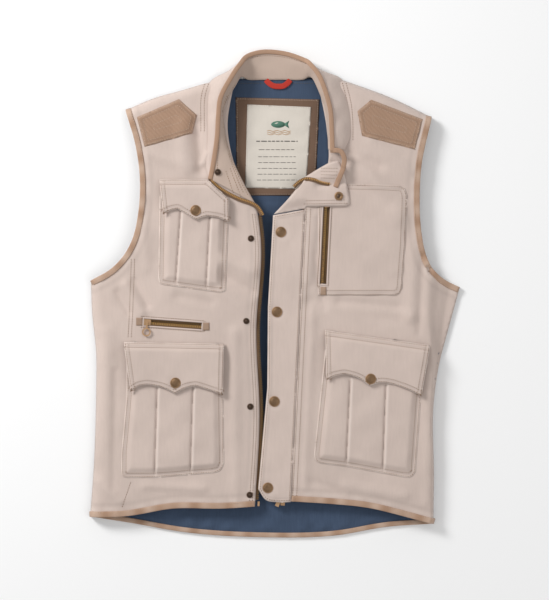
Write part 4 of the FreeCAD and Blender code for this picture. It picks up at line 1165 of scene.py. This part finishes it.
for name, line in (("chest_zip", CHEST_ZIP), ("side_zip", SIDE_ZIP)):
    middle = curve(line, 3.0)
    teeth(name + "_chain", [(at_level(offset(middle, 3.0), CHAIN_POCKET), -1, 0),
                            (at_level(offset(middle, -3.0), CHAIN_POCKET), 1, 0.5)], (name + "_teeth",), 3.4)
    for side in (1, -1):
        sweep(name + "_tape_" + ("a" if side > 0 else "b"), at_level(offset(middle, 6.4 * side),
                                                                     CHAIN_POCKET),
              POCKET_TAPE, TAPE_THICK, ZIP_CLOTH, "vest", (name + "_tape",) if side > 0 else (),
              squareness=6)
    surface = panel_height if name == "chest_zip" else shell_right
    sweep(name + "_lip", raised(slot_loop(line, ZIP_SLOT + 1.6), surface, 0.1), 2.6, 1.9, TWILL, "vest",
          closed=True, sides=8)
right_end = raised(curve([(-101, 177), (-93, 168), (-81, 159), (-68, 151.5), (-53, 144.5), (-37, 139),
                          (-28, 134),
                          (-19.5, 121)], 2.0), lambda x, y: np.full(np.shape(x), 21.6))
sweep("collar_zip_tape", right_end - np.array([0, 0, 0.9]), 7.0, 1.0, ZIP_CLOTH, "vest",
      squareness=5)
teeth("collar_zip_teeth", [(right_end, 1, 0)], (), 2.8, 2.0)
left_end = curve([(29, 164), (38, 172), (47, 176), (58, 175), (70, 171), (84, 168)], 2.0)
sweep("collar_end_zip_tape", raised(left_end, lapel_height, 0.2), 6.5, 1.0, ZIP_CLOTH, "vest",
      squareness=5)
teeth("collar_end_zip_teeth", [(raised(left_end, lapel_height, 1.3), 1, 0)], (), 2.6, 1.8)

for i, (centre, turn) in enumerate((((74.5, 4), 0), ((-209, -43), 0), ((-106, -50.5), 0))):
    wide, tall = (9, 13) if i == 0 else (10, 12)
    tab = straight([(centre[0] - wide / 2, centre[1] - tall / 2),
                    (centre[0] + wide / 2, centre[1] - tall / 2),
                    (centre[0] + wide / 2, centre[1] + tall / 2),
                    (centre[0] - wide / 2, centre[1] + tall / 2)], 1.5)
    surface = panel_height if i == 0 else shell_right

    def tab_height(x, y, under=surface, edge=closed(tab)):
        gap, _ = distance_to(edge, x, y)
        return under(x, y) + 1.5 - rounded(gap, 2, 0.8)

    cloth("zip_tab_%d" % i, tab, tab_height, TAB_CLOTH, "vest", 1.2, 1.2, (),
          ("zip_end_tabs",) if i == 0 else ())

# ---------------------------------------------------------------- snaps
# A fastener's profile is its (radius, height) points from the bottom to the top.
CAP = ((0.3, -2.6), (4.4, -2.6), (4.4, -0.3), (7.9, -0.2), (8.3, 0.4), (8.0, 1.2), (7.2, 1.6), (6.7, 1.2),
       (6.2, 1.15),
       (5.6, 1.5), (4.2, 1.85), (2.0, 2.1), (0.2, 2.15))
STUD = ((0.3, 0), (4.8, 0), (5.0, 0.5), (4.5, 1.2), (3.6, 1.25), (3.0, 0.7), (2.1, 0.7), (1.9, 2.3),
        (1.6, 2.75),
        (0.2, 2.8))
# Notches engraved round a fastener: how many, how deep, and the radius and width of their ring.
NOTCHES = 14
NOTCH_DEPTH = 0.22
NOTCH_RADIUS = 4.6
NOTCH_SPREAD = 1.3
SOCKET = ((2.5, 0), (6.0, 0), (6.7, 0.6), (6.4, 1.4), (5.4, 1.8), (4.2, 1.5), (3.1, 1.3), (2.5, 0.6))


def fasteners(name, profile, centres, material, body, replaced=()):
    """Add lathe-turned fasteners at centres, engraved with a fine ring of notches."""
    parts = []
    for x, y, z in centres:
        points, faces = lathe(profile, (x, y, z))
        notched = []
        for px, py, pz in points:
            radius = math.hypot(px - x, py - y)
            angle = math.atan2(py - y, px - x)
            fade = math.exp(-((radius - NOTCH_RADIUS) / NOTCH_SPREAD) ** 2)
            cut_in = NOTCH_DEPTH * math.cos(NOTCHES * angle) * fade if pz > z else 0
            notched.append((px, py, pz + cut_in))
        parts.append((notched, faces))
    points, faces = joined(parts)
    return make(name, points, faces, material, body, replaced)


fasteners("placket_caps", CAP, [(x, y, PLACKET_TOP + 0.1) for x, y in PLACKET_SNAPS], BRASS, "placket",
          ("placket_snap_caps",))
front_studs = [(x, y, level_at(shell_right, (x, y)) - 0.1) for x, y in FRONT_STUDS]
fasteners("front_studs", STUD, front_studs, DARK_BRASS, "vest", ("front_snap_studs",))
for name, (_, _, snap, _, body) in POCKETS.items():
    seat = level_at(pocket_shape(name)[1], snap)
    fasteners(name + "_cap", CAP, [(snap[0], snap[1], seat + 0.2)], BRASS, body,
              (name + "_snap_cap",))
    fasteners(name + "_stud", STUD, [(snap[0], snap[1], FACE_TOP - 0.3)], DARK_BRASS, "vest",
              (name + "_snap_stud",))
fasteners("collar_stud_ring", STUD, [(-88, 187, 24.6)], DARK_BRASS, "vest", ("collar_snaps",))
COLLAR_SOCKET = (98, 150)
SOCKET_HOLE = ((0.2, 0), (3.0, 0), (2.9, 0.8), (0.2, 0.75))
socket_level = level_at(lapel_height, COLLAR_SOCKET)
fasteners("collar_socket_ring", SOCKET, [(*COLLAR_SOCKET, socket_level - 0.1)], BRASS, "vest")
fasteners("collar_socket_hole", SOCKET_HOLE, [(*COLLAR_SOCKET, socket_level)], DARK_BRASS, "vest")

# ---------------------------------------------------------------- neck label and hanger loop
LABEL_FRAME = [(-61, 304), (69, 301), (62, 152), (-59, 152)]
LABEL = [(-43, 293), (56, 289), (48, 162), (-46, 164)]
frame_line = straight(LABEL_FRAME)
label_line = straight(LABEL)


def frame_height(x, y):
    """Return the top of the label's brown frame."""
    gap, along = distance_to(closed(frame_line), x, y)
    return 3.7 + 0.25 * ripple(x, y, 60, 9) - rounded(gap, 2, 0.6) + 0.15 * np.sin(along / 4) * bump_at(gap,
                                                                                                        6)


def label_height(x, y):
    """Return the top of the cream label, with its soft wrinkles across."""
    gap, _ = distance_to(closed(label_line), x, y)
    wrinkles = 0.45 * np.sin(y / 4.6 + 1.5 * np.sin(x / 23.0) + 0.8 * np.sin(y / 17.0)) * bump_at(y - 262,
                                                                                                  60)
    return 4.6 + 0.3 * ripple(x, y, 44, 10) + wrinkles * rise(gap, 1, 8) - rounded(gap, 2, 0.5)


def label_tone(x, y):
    """Return faint stains down the label's left side."""
    return -0.10 * bump_at(x + 40, 8) * (0.6 + 0.4 * np.sin(y / 9.0)) - 0.05 * bump_at(y - 165, 12)


cloth("label_frame", frame_line, frame_height, FRAME_CLOTH, "vest", 2.6, 0.6, (),
      ("neck_patch",))
cloth("label_cloth", label_line, label_height, CREAM, "vest", 2.0, 0.5, (), ("neck_label",),
      label_tone)
stitches("label_frame_stitches", [shrunk(LABEL_FRAME, 2.0)], frame_height, THREAD_TAN, "vest")
stitches("label_stitches", [shrunk(LABEL, 1.6)], label_height, CREAM, "vest")


def printed(name, outlines, material, surface, lift=0.14):
    """Add flat printed shapes, as thin prisms that follow a surface."""
    parts = []
    for outline in outlines:
        outline = np.asarray(outline, float)
        count = len(outline)
        level = surface(outline[:, 0], outline[:, 1])
        points = [(p[0], p[1], z + lift) for p, z in zip(outline, level)]
        points += [(p[0], p[1], z - 0.1) for p, z in zip(outline, level)]
        faces = [tuple(range(count)), tuple(reversed(range(count, 2 * count)))]
        faces += [(i, count + i, count + (i + 1) % count, (i + 1) % count) for i in range(count)]
        parts.append((points, faces))
    points, faces = joined(parts)
    piece = make(name, points, faces, material, "vest")
    add_tone(piece, np.zeros(len(points)))
    return piece


# The label's printed lines: level, thickness and length.
RULES = ((236, 1.5, 64), (223, 0.9, 56), (212, 0.8, 58), (203, 0.8, 58), (194, 0.8, 60), (185, 0.8, 60),
         (176, 0.8, 62))
bars = []
for level, heavy, length in RULES:
    at = 3 - length / 2
    while at < 3 + length / 2:
        piece_length = random.uniform(3.5, 9.5)
        stop = min(at + piece_length, 3 + length / 2)
        bars += [[(a, level - heavy / 2), (b, level - heavy / 2), (b, level + heavy / 2),
                  (a, level + heavy / 2)]
                 for a, b in zip(np.arange(at, stop, 3.0), np.minimum(np.arange(at, stop, 3.0) + 3.02,
                                                                      stop))]
        at = stop + 1.8
printed("label_rules", bars, INK, label_height)
FISH = (6, 262)
body_turns = np.linspace(0.32, 2 * math.pi - 0.32, 22)
fish_body = [(FISH[0] - 1 + 11 * math.cos(a), FISH[1] + 5.2 * math.sin(a)) for a in body_turns]
fish_tail = [(FISH[0] + 9, FISH[1] + 1.6), (FISH[0] + 16, FISH[1] + 6), (FISH[0] + 14, FISH[1]),
             (FISH[0] + 16, FISH[1] - 6), (FISH[0] + 9, FISH[1] - 1.6)]
printed("label_fish", [fish_body, fish_tail[::-1]], TEAL, label_height, 0.2)
waves = []
for k in range(3):
    xs = np.linspace(-12, 24, 25)
    upper = [(x, FISH[1] - 10 - 2.6 * k + 0.8 * math.sin(x / 1.9 + k)) for x in xs]
    for a, b in zip(upper[:-1], upper[1:]):
        waves.append([(a[0], a[1] - 0.4), (b[0], b[1] - 0.4), (b[0], b[1] + 0.4), (a[0], a[1] + 0.4)])
printed("label_waves", waves, OCHRE, label_height)
loop_path = through([(-14, 331, 3.9), (-10, 326.5, 4.3), (-3, 322, 4.6), (5, 320.8, 4.8), (13, 321.6, 4.6),
                     (19.5, 326, 4.3), (23.5, 331, 3.9)], 40)
sweep("hanger_tape", loop_path, 8.6, 1.5, RED_TAPE, "hanger", ("hanger_loop",), sides=12,
      squareness=4)


def bends(names):
    """Apply pieces' modifiers into their meshes and take them off their bodies, so they stay fixed where
    they lie.
    """
    for name in names:
        piece = bpy.data.objects[name]
        bpy.context.view_layer.update()
        evaluated = piece.evaluated_get(bpy.context.evaluated_depsgraph_get())
        piece.data = bpy.data.meshes.new_from_object(evaluated)
        piece.modifiers.clear()
        piece.parent = None
        piece.matrix_world.identity()
        del piece["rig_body"]
        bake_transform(piece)


bends(("placket_cloth", "placket_stitches"))
for name, (_, flap, _, _, body) in POCKETS.items():
    bends((name + "_flap_cloth", name + "_flap_stitches"))
bends(("hanger_tape",))

# ---------------------------------------------------------------- frame pieces that stay in view
for names, material in ((("front_zip_slider", "chest_zip_slider", "side_zip_slider", "front_zip_pull",
                          "chest_zip_pull", "side_zip_pull", "front_zip_box_and_pin"), BRASS),
                        (("chest_zip_bag", "side_zip_bag"), CHAMBRAY)):
    for name in names:
        node = frame["nodes"][name]
        node.data.materials.clear()
        node.data.materials.append(material)

# ---------------------------------------------------------------- stage
camera_data = bpy.data.cameras.new("camera")
camera = bpy.data.objects.new("camera", camera_data)
bpy.context.scene.collection.objects.link(camera)
CAMERA_HEIGHT = 3.2
VIEW_HEIGHT = 0.930
camera.location = (-0.0008, -0.0097, CAMERA_HEIGHT)
camera_data.sensor_width = 36
camera_data.lens = 36 * CAMERA_HEIGHT / VIEW_HEIGHT
bpy.context.scene.camera = camera
floor_mesh = bpy.data.meshes.new("floor")
floor_mesh.from_pydata([(-4, -4, 0), (4, -4, 0), (4, 4, 0), (-4, 4, 0)], [], [(0, 1, 2, 3)])
floor = bpy.data.objects.new("floor", floor_mesh)
bpy.context.scene.collection.objects.link(floor)
floor_material, _, _, floor_shader = started("pale_floor")
floor_shader.inputs["Base Color"].default_value = (0.93, 0.93, 0.93, 1)
floor_shader.inputs["Roughness"].default_value = 0.9
floor_mesh.materials.append(floor_material)


def area_light(name, place, size, power):
    """Add a soft square light that looks at the middle of the vest."""
    data = bpy.data.lights.new(name, "AREA")
    data.size = size
    data.energy = power
    light = bpy.data.objects.new(name, data)
    light.location = place
    light.rotation_euler = (-Vector(place)).to_track_quat("-Z", "Y").to_euler()
    bpy.context.scene.collection.objects.link(light)


area_light("key", (-1.8, 1.4, 1.5), 0.8, 56)
area_light("fill", (1.6, -0.6, 2.4), 2.2, 16)
world = bpy.data.worlds.new("studio")
bpy.context.scene.world = world
world.use_nodes = True
world.node_tree.nodes["Background"].inputs["Color"].default_value = (1, 1, 1, 1)
world.node_tree.nodes["Background"].inputs["Strength"].default_value = 0.5
bpy.context.scene.view_settings.view_transform = "Standard"
